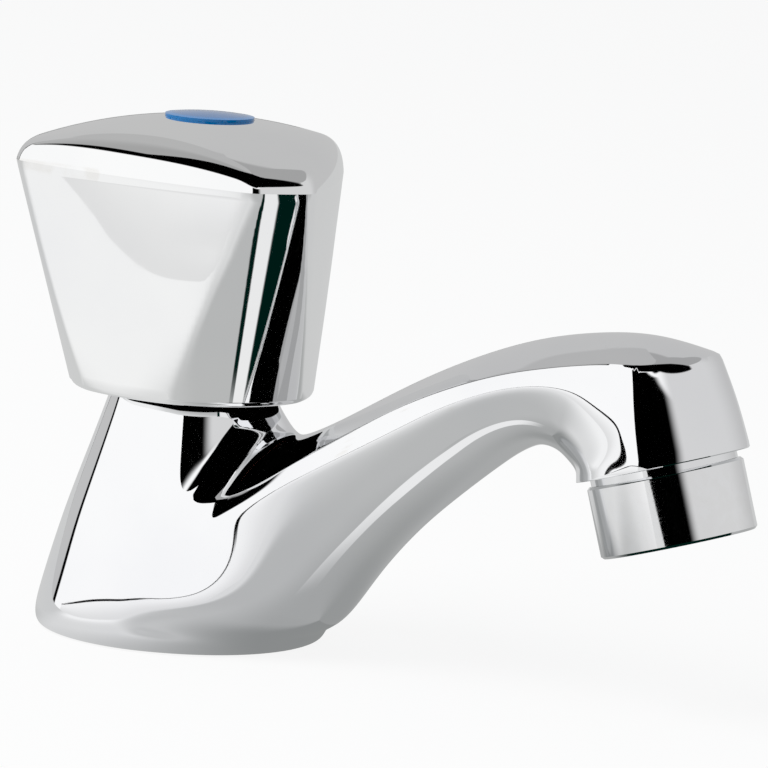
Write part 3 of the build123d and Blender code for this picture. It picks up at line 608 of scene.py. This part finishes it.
for radius, drop in NECK_RINGS:
    def around(angle, side, radius=radius, drop=drop):
        out = OUTLET_FRONT * cos(radians(angle)) + Vector((0, side * sin(radians(angle)), 0))
        return MOUTH - OUTLET_UP * drop + out * radius
    spout.append(add_ring(full_ring(
        lambda index, side: around(MOUTH_ANGLES[index], side),
        lambda index, side: around(SIDE_ANGLES[index], side),
        lambda index, side: around(NOSE_ANGLES[index], side),
    )))
    fill_between(spout[-2], spout[-1])
    crease(spout[-1], 1.0)
casting.faces.new(spout[-1])
outside = len(casting.faces)
bore = [column[-1]]
for height, radius in COLUMN_BORE:
    flat = [Vector((vert.co.x, vert.co.y, 0)).normalized() * radius for vert in column[-1]]
    bore.append(add_ring([spot + Vector((0, 0, height)) for spot in flat]))
    fill_between(bore[-2], bore[-1])
    crease(bore[-1], 1.0)
fill_between(bore[-1], column[0])
crease(column[-1], 0.8)
plated = casting.faces.layers.float.new("plated")
for index, face in enumerate(casting.faces):
    face[plated] = 1.0 if index < outside else 0.0
# soft edges: along both shoulders, round the nose and round the mouth
for level, amount in enumerate(SHOULDER_EDGE):
    for index in SHOULDERS:
        edge = casting.edges.get((spout[level][index], spout[level + 1][index]))
        edge[sharp] = amount
crease(spout[NOSE_RING], 0.75, range(*SHOULDERS))
crease(spout[MOUTH_RING], 0.85)
bmesh.ops.recalc_face_normals(casting, faces=casting.faces)
for vert in casting.verts:
    vert.co *= MM
casting_mesh = bpy.data.meshes.new("body_casting")
casting.to_mesh(casting_mesh)
casting.free()
body_casting = bpy.data.objects.new("body_casting", casting_mesh)
bpy.context.scene.collection.objects.link(body_casting)


def finish_piece(piece, body, node, material):
    """Gives a finished piece its body, the node it stands for and its material."""
    piece.data.materials.clear()
    piece.data.materials.append(material)
    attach(piece, body)
    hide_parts(node)


def only(piece):
    """Makes one piece the only selected one, and active."""
    bpy.ops.object.select_all(action="DESELECT")
    piece.select_set(True)
    bpy.context.view_layer.objects.active = piece


only(body_casting)
rounding = body_casting.modifiers.new("rounding", "SUBSURF")
rounding.levels = rounding.render_levels = 3
bpy.ops.object.modifier_apply(modifier="rounding")
bpy.ops.object.shade_smooth_by_angle(angle=SMOOTH_ANGLE)


def join_group(name, inputs, outputs):
    """An empty node group with named sockets, and its input and output nodes."""
    group = bpy.data.node_groups.new(name, "ShaderNodeTree")
    for label, value in inputs:
        kind = "NodeSocketVector" if value is None else "NodeSocketFloat"
        socket = group.interface.new_socket(label, in_out="INPUT", socket_type=kind)
        if value is not None:
            socket.default_value = value
    for label in outputs:
        group.interface.new_socket(label, in_out="OUTPUT", socket_type="NodeSocketFloat")
    return group, group.nodes.new("NodeGroupInput"), group.nodes.new("NodeGroupOutput")


def cloud(tree, point, size, detail=3.0, rough=0.5):
    """Soft noise from 0 to 1; size is in metres or another node's output."""
    node = tree.nodes.new("ShaderNodeTexNoise")
    tree.links.new(point, node.inputs["Vector"])
    scale = 1 / size if isinstance(size, float) else number(tree, "DIVIDE", 1.0, size)
    feed(tree, node.inputs["Scale"], scale)
    node.inputs["Detail"].default_value = detail
    node.inputs["Roughness"].default_value = rough
    return node.outputs[0]


def place_group(tree, group, point=None, **values):
    """Puts a shared group in a material with its own values."""
    node = tree.nodes.new("ShaderNodeGroup")
    node.node_tree = group
    if point is not None:
        tree.links.new(point, node.inputs["Point"])
    for label, value in values.items():
        feed(tree, node.inputs[label.replace("_", " ")], value)
    return node.outputs


def new_finish(name, metallic):
    """A fresh material: its tree, its shader and the place on the piece."""
    material = bpy.data.materials.new(name)
    material.use_nodes = True
    tree = material.node_tree
    shader = tree.nodes["Principled BSDF"]
    shader.inputs["Metallic"].default_value = metallic
    return material, tree, shader, tree.nodes.new("ShaderNodeTexCoord").outputs["Object"]


def emboss(tree, shader, height, depth, strength=1.0):
    """Turns a height from 0 to 1 into bumps of a depth in metres."""
    node = tree.nodes.new("ShaderNodeBump")
    node.inputs["Strength"].default_value = strength
    node.inputs["Distance"].default_value = depth
    tree.links.new(height, node.inputs["Height"])
    tree.links.new(node.outputs[0], shader.inputs["Normal"])


# wear along the edges: a mask from how sharp the surface turns, broken up by noise
edge_wear, given, result = join_group(
    "edge_wear", [("Point", None), ("From", 0.53), ("To", 0.62), ("Patch size", 0.004)], ["Mask"],
)
tree = edge_wear
turned = tree.nodes.new("ShaderNodeNewGeometry").outputs["Pointiness"]
mask = ramp(tree, turned, given.outputs["From"], given.outputs["To"])
broken = cloud(tree, given.outputs["Point"], given.outputs["Patch size"], 4.0)
mask = number(tree, "MULTIPLY", mask, ramp(tree, broken, 0.35, 0.6))
tree.links.new(mask, result.inputs["Mask"])

# chrome plate: broad soft haze, wiped smears and a few dried drops
plate_haze, given, result = join_group(
    "plate_haze",
    [("Point", None), ("Haze size", 0.03), ("Smear size", 0.006), ("Drop size", 0.011)],
    ["Haze", "Smear", "Drop"],
)
tree = plate_haze
haze = ramp(tree, cloud(tree, given.outputs["Point"], given.outputs["Haze size"], 4.0), 0.35, 0.7)
wipe = tree.nodes.new("ShaderNodeMapping")
wipe.inputs["Rotation"].default_value = (0.5, 0.3, 0.9)
wipe.inputs["Scale"].default_value = (1.0, 9.0, 1.0)
tree.links.new(given.outputs["Point"], wipe.inputs["Vector"])
smear = ramp(tree, cloud(tree, wipe.outputs[0], given.outputs["Smear size"], 5.0), 0.45, 0.75)
drops = tree.nodes.new("ShaderNodeTexVoronoi")
tree.links.new(given.outputs["Point"], drops.inputs["Vector"])
tree.links.new(number(tree, "DIVIDE", 1.0, given.outputs["Drop size"]), drops.inputs["Scale"])
ring = stretch(tree, drops.outputs["Distance"], 0.1, 0.13, 0.02)
few = tree.nodes.new("ShaderNodeSeparateColor")
tree.links.new(drops.outputs["Color"], few.inputs[0])
drop = number(tree, "MULTIPLY", ring, ramp(tree, few.outputs[0], 0.86, 0.88))
for label, value in (("Haze", haze), ("Smear", smear), ("Drop", drop)):
    tree.links.new(value, result.inputs[label])


def chrome_finish(name, light, deep, bare_metal_or_shade=None):
    """Polished chrome plate; the unplated inside is bare metal, and painted shade in the handle."""
    material, tree, shader, point = new_finish(name, 1.0)
    haze, smear, drop = place_group(tree, plate_haze, point)
    wear, = place_group(tree, edge_wear, point, From=0.56, To=0.7)
    colour = shades(tree, light, deep, haze)
    colour = shades(tree, colour, (0.80, 0.78, 0.74), number(tree, "MULTIPLY", wear, 0.35))
    rough = number(tree, "MULTIPLY_ADD", haze, 0.012, 0.018)
    rough = number(tree, "MULTIPLY_ADD", smear, 0.016, rough)
    rough = number(tree, "MULTIPLY_ADD", drop, 0.10, rough)
    rough = number(tree, "MULTIPLY_ADD", wear, 0.06, rough)
    bumps = number(tree, "MULTIPLY_ADD", drop, 0.3, number(tree, "MULTIPLY", smear, 0.05))
    if bare_metal_or_shade:
        reached = tree.nodes.new("ShaderNodeAttribute")
        reached.attribute_name = "plated"
        reached = ramp(tree, reached.outputs["Fac"], 0.4, 0.6)
        grain = cloud(tree, point, 0.0012, 5.0, 0.65)
        dark = tuple(value * 0.45 for value in bare_metal_or_shade)
        bare_or_shaded_grain = shades(tree, bare_metal_or_shade, dark, ramp(tree, grain, 0.3, 0.7))
        colour = shades(tree, bare_or_shaded_grain, colour, reached)
        rough = between(tree, number(tree, "MULTIPLY_ADD", grain, 0.3, 0.5), rough, reached)
        bumps = between(tree, number(tree, "MULTIPLY", grain, 6.0), bumps, reached)
    tree.links.new(colour, shader.inputs["Base Color"])
    tree.links.new(rough, shader.inputs["Roughness"])
    emboss(tree, shader, bumps, FINE_BUMPS)
    return material


body_chrome = chrome_finish(
    "body_chrome", (0.95, 0.955, 0.965), (0.91, 0.915, 0.935), (0.42, 0.30, 0.14),
)
finish_piece(body_casting, "tap", "body", body_chrome)

# Handle
# A hollow three-sided cap, a die casting plated outside; within it is matt, with painted
# shade near black. Three broad curved facets widen towards a sharp crease, and a low dome
# closes the top. It is pressed on the spindle's bush and held by a screw below the blue disc.
HANDLE_COLUMNS = 240
DOME_STEPS, CAP_STEPS, WALL_STEPS, RIM_STEPS, INNER_STEPS = 11, 16, 24, 6, 12
FACET_MIDDLE = -96.4
RIM_HEIGHT, CREASE_HEIGHT = 39.1, 74.2
RIM_CORNER, CREASE_CORNER = 19.65, 30.2
RIM_FACET, CREASE_FACET = 19.05, 21.3
FACET_HALVES = [(39.0, 24.5), (47.0, 32.5), (55.2, 39.2), (65.0, 45.8), (74.2, 50.3)]
FACET_SOFTNESS = 2.4
DOME_BEND, DOME_HEIGHT = 75.5, 82.9
DISC_POCKET = 7.12
HANDLE_WALL = 2.2
RIM_ROUNDING = 0.9
INNER_TOP, INNER_END, INNER_ROUNDING = 72.4, 74.2, 1.8
CREASE_LEAN = 0.5
FACET_ROUNDING, CORNER_ROUNDING = 5.0, 3.0
HANDLE_BORE = [
    (8.8, 74.2), (8.8, 57.5), (6.62, 57.5), (6.62, 67.0), (5.2, 67.0), (5.2, 81.0),
    (DISC_POCKET, 81.0),
]


def facet_outline(angle, height, inset=0.0):
    """Distance from the axis to the handle's skin, at an angle and a height."""
    share = (height - RIM_HEIGHT) / (CREASE_HEIGHT - RIM_HEIGHT)
    corner = RIM_CORNER + (CREASE_CORNER - RIM_CORNER) * share
    facet = RIM_FACET + (CREASE_FACET - RIM_FACET) * share
    half = radians(in_table(FACET_HALVES, height)[0])
    sag = facet - corner * cos(half)
    bend = ((corner * sin(half)) ** 2 + sag * sag) / (2 * sag)
    total = 0.0
    for step in (-1.0, -0.5, 0.0, 0.5, 1.0):
        turned = angle + step * FACET_SOFTNESS - FACET_MIDDLE
        off = radians((turned + 60) % 120 - 60)
        middle = facet - bend
        reach = middle * cos(off) + sqrt(bend * bend - (middle * sin(off)) ** 2)
        total += min(reach, corner) * (1.0 - abs(step) * 0.5)
    return total / 3.5 - inset


def dome_height(reach):
    return DOME_HEIGHT - DOME_BEND + sqrt(DOME_BEND**2 - reach**2)


def cap_ring(share, angle):
    """A point between crease and dome edge, on a curve that leaves the crease upright."""
    crease_reach = facet_outline(angle, CREASE_HEIGHT)
    corner = (crease_reach - CREASE_FACET) / (CREASE_CORNER - CREASE_FACET)
    inward = FACET_ROUNDING + (CORNER_ROUNDING - FACET_ROUNDING) * corner
    end = crease_reach - inward
    slope = end / sqrt(DOME_BEND**2 - end**2)
    knee = crease_reach - CREASE_LEAN
    knee_height = dome_height(end) - slope * (knee - end)
    a, b, c = (1 - share) ** 2, 2 * share * (1 - share), share**2
    reach = a * crease_reach + b * knee + c * end
    return reach, a * CREASE_HEIGHT + b * knee_height + c * dome_height(end)


angles = [360 * index / HANDLE_COLUMNS for index in range(HANDLE_COLUMNS)]
handle_rings = []


def handle_ring(place):
    """Adds a ring: place gives the distance from the axis and the height at an angle."""
    ring = []
    for angle in angles:
        reach, height = place(angle)
        turned = radians(angle)
        ring.append((reach * cos(turned) * MM, reach * sin(turned) * MM, height * MM))
    handle_rings.append(ring)


handle_ring(lambda angle: (DISC_POCKET, dome_height(DISC_POCKET)))
for step in range(1, DOME_STEPS + 1):
    def dome_point(angle, share=step / DOME_STEPS):
        reach = DISC_POCKET + (cap_ring(1.0, angle)[0] - DISC_POCKET) * share
        return reach, dome_height(reach)
    handle_ring(dome_point)
for step in range(CAP_STEPS - 1, -1, -1):
    handle_ring(lambda angle, share=step / CAP_STEPS: cap_ring(share, angle))
crease_ring = len(handle_rings) - 1
for step in range(WALL_STEPS + 1):
    height = CREASE_HEIGHT + (RIM_HEIGHT + RIM_ROUNDING - CREASE_HEIGHT) * step / WALL_STEPS
    # the first ring lies a hair within and under the crease, which keeps it sharp
    within, under = (0.0, 0.0) if step else (0.0005, 0.001)
    handle_ring(lambda angle: (facet_outline(angle, height) - within, height - under))
for step in range(1, RIM_STEPS + 1):
    bend = radians(90 / RIM_STEPS * step)
    handle_ring(lambda angle: (
        facet_outline(angle, RIM_HEIGHT) - RIM_ROUNDING + RIM_ROUNDING * cos(bend),
        RIM_HEIGHT + RIM_ROUNDING - RIM_ROUNDING * sin(bend),
    ))
handle_ring(lambda angle: (facet_outline(angle, RIM_HEIGHT, HANDLE_WALL), RIM_HEIGHT))
inner_ring = len(handle_rings) - 1
for step in range(1, INNER_STEPS + 1):
    height = RIM_HEIGHT + (INNER_TOP - RIM_HEIGHT) * step / INNER_STEPS
    handle_ring(lambda angle: (facet_outline(angle, height, HANDLE_WALL), height))
handle_ring(lambda angle: (
    facet_outline(angle, INNER_END, HANDLE_WALL + INNER_ROUNDING), INNER_END,
))
for reach, height in HANDLE_BORE:
    handle_ring(lambda angle: (reach, height))
shell = bmesh.new()
loops = [[shell.verts.new(point) for point in ring] for ring in handle_rings]
for first, second in zip(loops, loops[1:] + loops[:1]):
    for index in range(HANDLE_COLUMNS):
        after = (index + 1) % HANDLE_COLUMNS
        shell.faces.new((first[index], first[after], second[after], second[index]))
bmesh.ops.recalc_face_normals(shell, faces=shell.faces)
sharp_loop = loops[crease_ring]
for index in range(HANDLE_COLUMNS):
    shell.edges.get((sharp_loop[index], sharp_loop[(index + 1) % HANDLE_COLUMNS])).smooth = False
plated = shell.faces.layers.float.new("plated")
for index, face in enumerate(shell.faces):
    face[plated] = 1.0 if index < inner_ring * HANDLE_COLUMNS else 0.0
handle_mesh = bpy.data.meshes.new("handle_cap")
shell.to_mesh(handle_mesh)
shell.free()
handle_cap = bpy.data.objects.new("handle_cap", handle_mesh)
bpy.context.scene.collection.objects.link(handle_cap)
only(handle_cap)
bpy.ops.object.shade_smooth_by_angle(angle=SMOOTH_ANGLE, keep_sharp_edges=True)
# the last colour is the handle's unplated inside: painted shade, near black
handle_chrome = chrome_finish(
    "handle_chrome", (0.955, 0.96, 0.96), (0.92, 0.925, 0.935), (0.02, 0.019, 0.018),
)
finish_piece(handle_cap, "handle_turning", "handle", handle_chrome)

# Blue disc
# A clear blue moulded disc, clipped into the handle over its screw. Its top is glossy, and its
# blue is strongest round the rim.


def dress(node, material):
    """Gives a node of the frame its material."""
    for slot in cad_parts[node].material_slots:
        slot.material = material


disc_blue, tree, shader, point = new_finish("disc_blue", 0.0)
x, y, z = axes_of(tree, point)
scuffs = ramp(tree, cloud(tree, point, 0.0012, 6.0, 0.6), 0.5, 0.75)
edge = ramp(tree, distance(tree, x, y), 0.0052, 0.0066)
colour = shades(tree, (0.006, 0.135, 0.39), (0.0, 0.195, 0.54), edge)
colour = shades(tree, colour, (0.03, 0.2, 0.52), number(tree, "MULTIPLY", scuffs, 0.3))
tree.links.new(colour, shader.inputs["Base Color"])
tree.links.new(number(tree, "MULTIPLY_ADD", scuffs, 0.07, 0.06), shader.inputs["Roughness"])
emboss(tree, shader, scuffs, FINE_BUMPS)
shader.inputs["Specular IOR Level"].default_value = 0.4
tree.links.new(number(tree, "MULTIPLY_ADD", edge, -0.2, 0.2), shader.inputs["Coat Weight"])
shader.inputs["Coat Roughness"].default_value = 0.05
dress("index_button", disc_blue)

# Aerator
# A turned and plated brass sleeve that screws on the spout's nozzle. It holds a plastic tube, a
# plate with small holes and a fine steel net, with a rubber ring above them.
turned_lines, given, result = join_group(
    "turned_lines", [("Reach", 0.0), ("Height", 0.0), ("Pitch", 0.0004)], ["Lines"],
)
tree = turned_lines
walk = number(tree, "ADD", given.outputs["Reach"], given.outputs["Height"])
walk = number(tree, "DIVIDE", walk, given.outputs["Pitch"])
lines = tree.nodes.new("ShaderNodeTexNoise")
lines.noise_dimensions = "1D"
lines.inputs["Scale"].default_value = 1.0
lines.inputs["Detail"].default_value = 3.0
tree.links.new(walk, lines.inputs["W"])
tree.links.new(ramp(tree, lines.outputs[0], 0.3, 0.7), result.inputs["Lines"])


def outlet_place(tree, point):
    """The place measured from the middle of the mouth, with the outlet's own axis upright."""
    centre = tree.nodes.new("ShaderNodeMapping")
    centre.vector_type = "TEXTURE"
    centre.inputs["Location"].default_value = MOUTH * MM
    centre.inputs["Rotation"].default_value = (0.0, -OUTLET_TILT, 0.0)
    tree.links.new(point, centre.inputs["Vector"])
    return centre.outputs[0]


aerator_chrome, tree, shader, point = new_finish("aerator_chrome", 1.0)
haze, smear = place_group(tree, plate_haze, point)[:2]
x, y, z = axes_of(tree, outlet_place(tree, point))
lines, = place_group(tree, turned_lines, Reach=distance(tree, x, y), Height=z, Pitch=0.0003)
wear, = place_group(tree, edge_wear, point, From=0.54, To=0.66, Patch_size=0.002)
# a little lime scale near the lower rim
spots = ramp(tree, cloud(tree, point, 0.0015, 5.0), 0.5, 0.7)
scale = product(tree, ramp(tree, z, -0.0125, -0.0145), spots)
colour = shades(tree, (0.95, 0.955, 0.965), (0.915, 0.92, 0.935), haze)
colour = shades(tree, colour, (0.78, 0.76, 0.72), number(tree, "MULTIPLY", wear, 0.4))
colour = shades(tree, colour, (0.72, 0.72, 0.70), number(tree, "MULTIPLY", scale, 0.5))
tree.links.new(colour, shader.inputs["Base Color"])
rough = number(tree, "MULTIPLY_ADD", lines, 0.03, 0.022)
rough = number(tree, "MULTIPLY_ADD", scale, 0.2, number(tree, "MULTIPLY_ADD", smear, 0.015, rough))
tree.links.new(rough, shader.inputs["Roughness"])
emboss(tree, shader, lines, 0.0000001)
dress("aerator_housing", aerator_chrome)

# soft and moulded parts share one speckle of fine grain and paler dust
speckle, given, result = join_group(
    "speckle", [("Point", None), ("Grain size", 0.0006), ("Patch size", 0.006)], ["Grain", "Patch"],
)
tree = speckle
grain = cloud(tree, given.outputs["Point"], given.outputs["Grain size"], 4.0, 0.6)
grain = ramp(tree, grain, 0.3, 0.7)
patch = cloud(tree, given.outputs["Point"], given.outputs["Patch size"], 4.0)
patch = ramp(tree, patch, 0.4, 0.7)
tree.links.new(grain, result.inputs["Grain"])
tree.links.new(patch, result.inputs["Patch"])


def moulded_finish(name, dark, light, worn, rough, depth, grain_size=0.0006, patch_size=0.006):
    """Rubber, fibre or plastic: speckled colour, pale edges and a matt grain."""
    material, tree, shader, point = new_finish(name, 0.0)
    grain, patch = place_group(tree, speckle, point, Grain_size=grain_size, Patch_size=patch_size)
    wear, = place_group(tree, edge_wear, point, From=0.52, To=0.6, Patch_size=0.002)
    colour = shades(tree, dark, light, number(tree, "MULTIPLY", grain, 0.6))
    colour = shades(tree, colour, light, number(tree, "MULTIPLY", patch, 0.5))
    colour = shades(tree, colour, worn, number(tree, "MULTIPLY", wear, 0.5))
    tree.links.new(colour, shader.inputs["Base Color"])
    varied = number(tree, "MULTIPLY_ADD", grain, 0.1, rough)
    tree.links.new(number(tree, "MULTIPLY_ADD", wear, -0.08, varied), shader.inputs["Roughness"])
    emboss(tree, shader, grain, depth)
    return material


white_plastic = moulded_finish(
    "white_plastic", (0.74, 0.74, 0.71), (0.84, 0.84, 0.82), (0.88, 0.88, 0.86),
    0.38, 0.000008, 0.0004,
)
dress("aerator_insert", white_plastic)
dress("aerator_plate", white_plastic)
black_rubber = moulded_finish(
    "black_rubber", (0.016, 0.016, 0.017), (0.045, 0.044, 0.043), (0.10, 0.10, 0.10), 0.6, 0.00002,
)
for node in ("aerator_seal", "seat_washer", "spindle_rings", "base_seal"):
    dress(node, black_rubber)

# the net is woven of fine wires, dark between them
NET_PITCH = 0.0005
net_steel, tree, shader, point = new_finish("net_steel", 1.0)
crossing = []
for axis in axes_of(tree, outlet_place(tree, point))[:2]:
    wave = number(tree, "SINE", number(tree, "MULTIPLY", axis, pi / NET_PITCH))
    crossing.append(ramp(tree, number(tree, "ABSOLUTE", wave), 0.55, 0.85))
wires = number(tree, "MAXIMUM", *crossing)
grime = ramp(tree, cloud(tree, point, 0.002, 5.0), 0.45, 0.7)
colour = shades(tree, (0.03, 0.03, 0.032), (0.62, 0.63, 0.64), wires)
colour = shades(tree, colour, (0.48, 0.45, 0.38), number(tree, "MULTIPLY", grime, 0.4))
tree.links.new(colour, shader.inputs["Base Color"])
tree.links.new(number(tree, "MULTIPLY_ADD", grime, 0.25, 0.28), shader.inputs["Roughness"])
emboss(tree, shader, wires, 0.00008)
dress("aerator_screen", net_steel)

# Headwork
# The turned brass parts that work the valve: the barrel screwed into the column, the toothed
# spindle and the sliding carrier. Lathe lines run round them, and the brass is slightly dulled.


def turned_finish(name, bright, dulled, worn, rough, pitch=0.0004, stains=0.005, depth=0.000005):
    """Turned metal: rings from the lathe, cloudy dulling and bright edges."""
    material, tree, shader, point = new_finish(name, 1.0)
    x, y, z = axes_of(tree, point)
    lines, = place_group(tree, turned_lines, Reach=distance(tree, x, y), Height=z, Pitch=pitch)
    wear, = place_group(tree, edge_wear, point, From=0.53, To=0.62, Patch_size=0.002)
    cloudy = ramp(tree, cloud(tree, point, stains, 5.0, 0.6), 0.38, 0.68)
    colour = shades(tree, bright, dulled, cloudy)
    colour = shades(tree, colour, dulled, number(tree, "MULTIPLY", lines, 0.25))
    colour = shades(tree, colour, worn, wear)
    tree.links.new(colour, shader.inputs["Base Color"])
    varied = number(tree, "MULTIPLY_ADD", cloudy, 0.16, rough)
    varied = number(tree, "MULTIPLY_ADD", lines, 0.08, varied)
    tree.links.new(number(tree, "MULTIPLY_ADD", wear, -0.08, varied), shader.inputs["Roughness"])
    emboss(tree, shader, lines, depth)
    return material


headwork_brass = turned_finish(
    "headwork_brass", (0.80, 0.64, 0.34), (0.55, 0.40, 0.19), (0.90, 0.76, 0.46), 0.2,
)
for node in ("spindle", "bonnet", "valve_carrier", "valve_seat"):
    dress(node, headwork_brass)
screw_brass = turned_finish(
    "screw_brass", (0.78, 0.62, 0.33), (0.50, 0.36, 0.17), (0.88, 0.74, 0.45), 0.22, 0.0002, 0.002,
)
dress("washer_screw", screw_brass)
clip_steel = turned_finish(
    "clip_steel", (0.60, 0.61, 0.63), (0.36, 0.36, 0.38), (0.74, 0.75, 0.77), 0.26, 0.0002, 0.002,
)
dress("spindle_clip", clip_steel)
red_fibre = moulded_finish(
    "red_fibre", (0.26, 0.055, 0.04), (0.42, 0.12, 0.09), (0.50, 0.22, 0.17),
    0.7, 0.00003, 0.0003, 0.003,
)
dress("bonnet_seal", red_fibre)

# Handle fixing
# A toothed bush of white plastic sits in the handle, and a stainless screw under the blue disc
# holds the handle down on the spindle.
bush_plastic = moulded_finish(
    "bush_plastic", (0.70, 0.70, 0.66), (0.82, 0.82, 0.79), (0.86, 0.86, 0.84), 0.42, 0.000012,
)
dress("spline_bush", bush_plastic)
screw_steel = turned_finish(
    "screw_steel", (0.64, 0.65, 0.67), (0.44, 0.44, 0.45), (0.78, 0.79, 0.80), 0.24, 0.00025, 0.002,
)
dress("handle_screw", screw_steel)

# Tail and clamp
# Below the deck: the threaded brass tail, a thick rubber washer, a zinc plated steel washer and
# the brass nut that pulls the tap down.
tail_brass = turned_finish(
    "tail_brass", (0.79, 0.63, 0.34), (0.48, 0.35, 0.17), (0.90, 0.75, 0.46), 0.24, 0.0005, 0.007,
)
dress("tail", tail_brass)
nut_brass = turned_finish(
    "nut_brass", (0.75, 0.59, 0.31), (0.46, 0.33, 0.16), (0.88, 0.73, 0.44), 0.28, 0.0007, 0.006,
)
dress("back_nut", nut_brass)
clamp_rubber = moulded_finish(
    "clamp_rubber", (0.022, 0.022, 0.022), (0.06, 0.058, 0.056), (0.13, 0.13, 0.13),
    0.66, 0.00003, 0.0009, 0.008,
)
dress("clamp_rubber", clamp_rubber)

# zinc plate shows flat crystals of slightly different greys
clamp_zinc, tree, shader, point = new_finish("clamp_zinc", 1.0)
crystals = tree.nodes.new("ShaderNodeTexVoronoi")
crystals.inputs["Scale"].default_value = 450.0
tree.links.new(point, crystals.inputs["Vector"])
flake = tree.nodes.new("ShaderNodeSeparateColor")
tree.links.new(crystals.outputs["Color"], flake.inputs[0])
wear, = place_group(tree, edge_wear, point, From=0.53, To=0.62, Patch_size=0.003)
stain = ramp(tree, cloud(tree, point, 0.006, 5.0), 0.45, 0.7)
colour = shades(tree, (0.56, 0.58, 0.60), (0.70, 0.71, 0.72), flake.outputs[0])
colour = shades(tree, colour, (0.50, 0.49, 0.45), number(tree, "MULTIPLY", stain, 0.5))
colour = shades(tree, colour, (0.40, 0.38, 0.35), number(tree, "MULTIPLY", wear, 0.6))
tree.links.new(colour, shader.inputs["Base Color"])
rough = number(tree, "MULTIPLY_ADD", flake.outputs[1], 0.12, 0.26)
tree.links.new(number(tree, "MULTIPLY_ADD", stain, 0.15, rough), shader.inputs["Roughness"])
emboss(tree, shader, flake.outputs[2], 0.000003)
dress("clamp_plate", clamp_zinc)
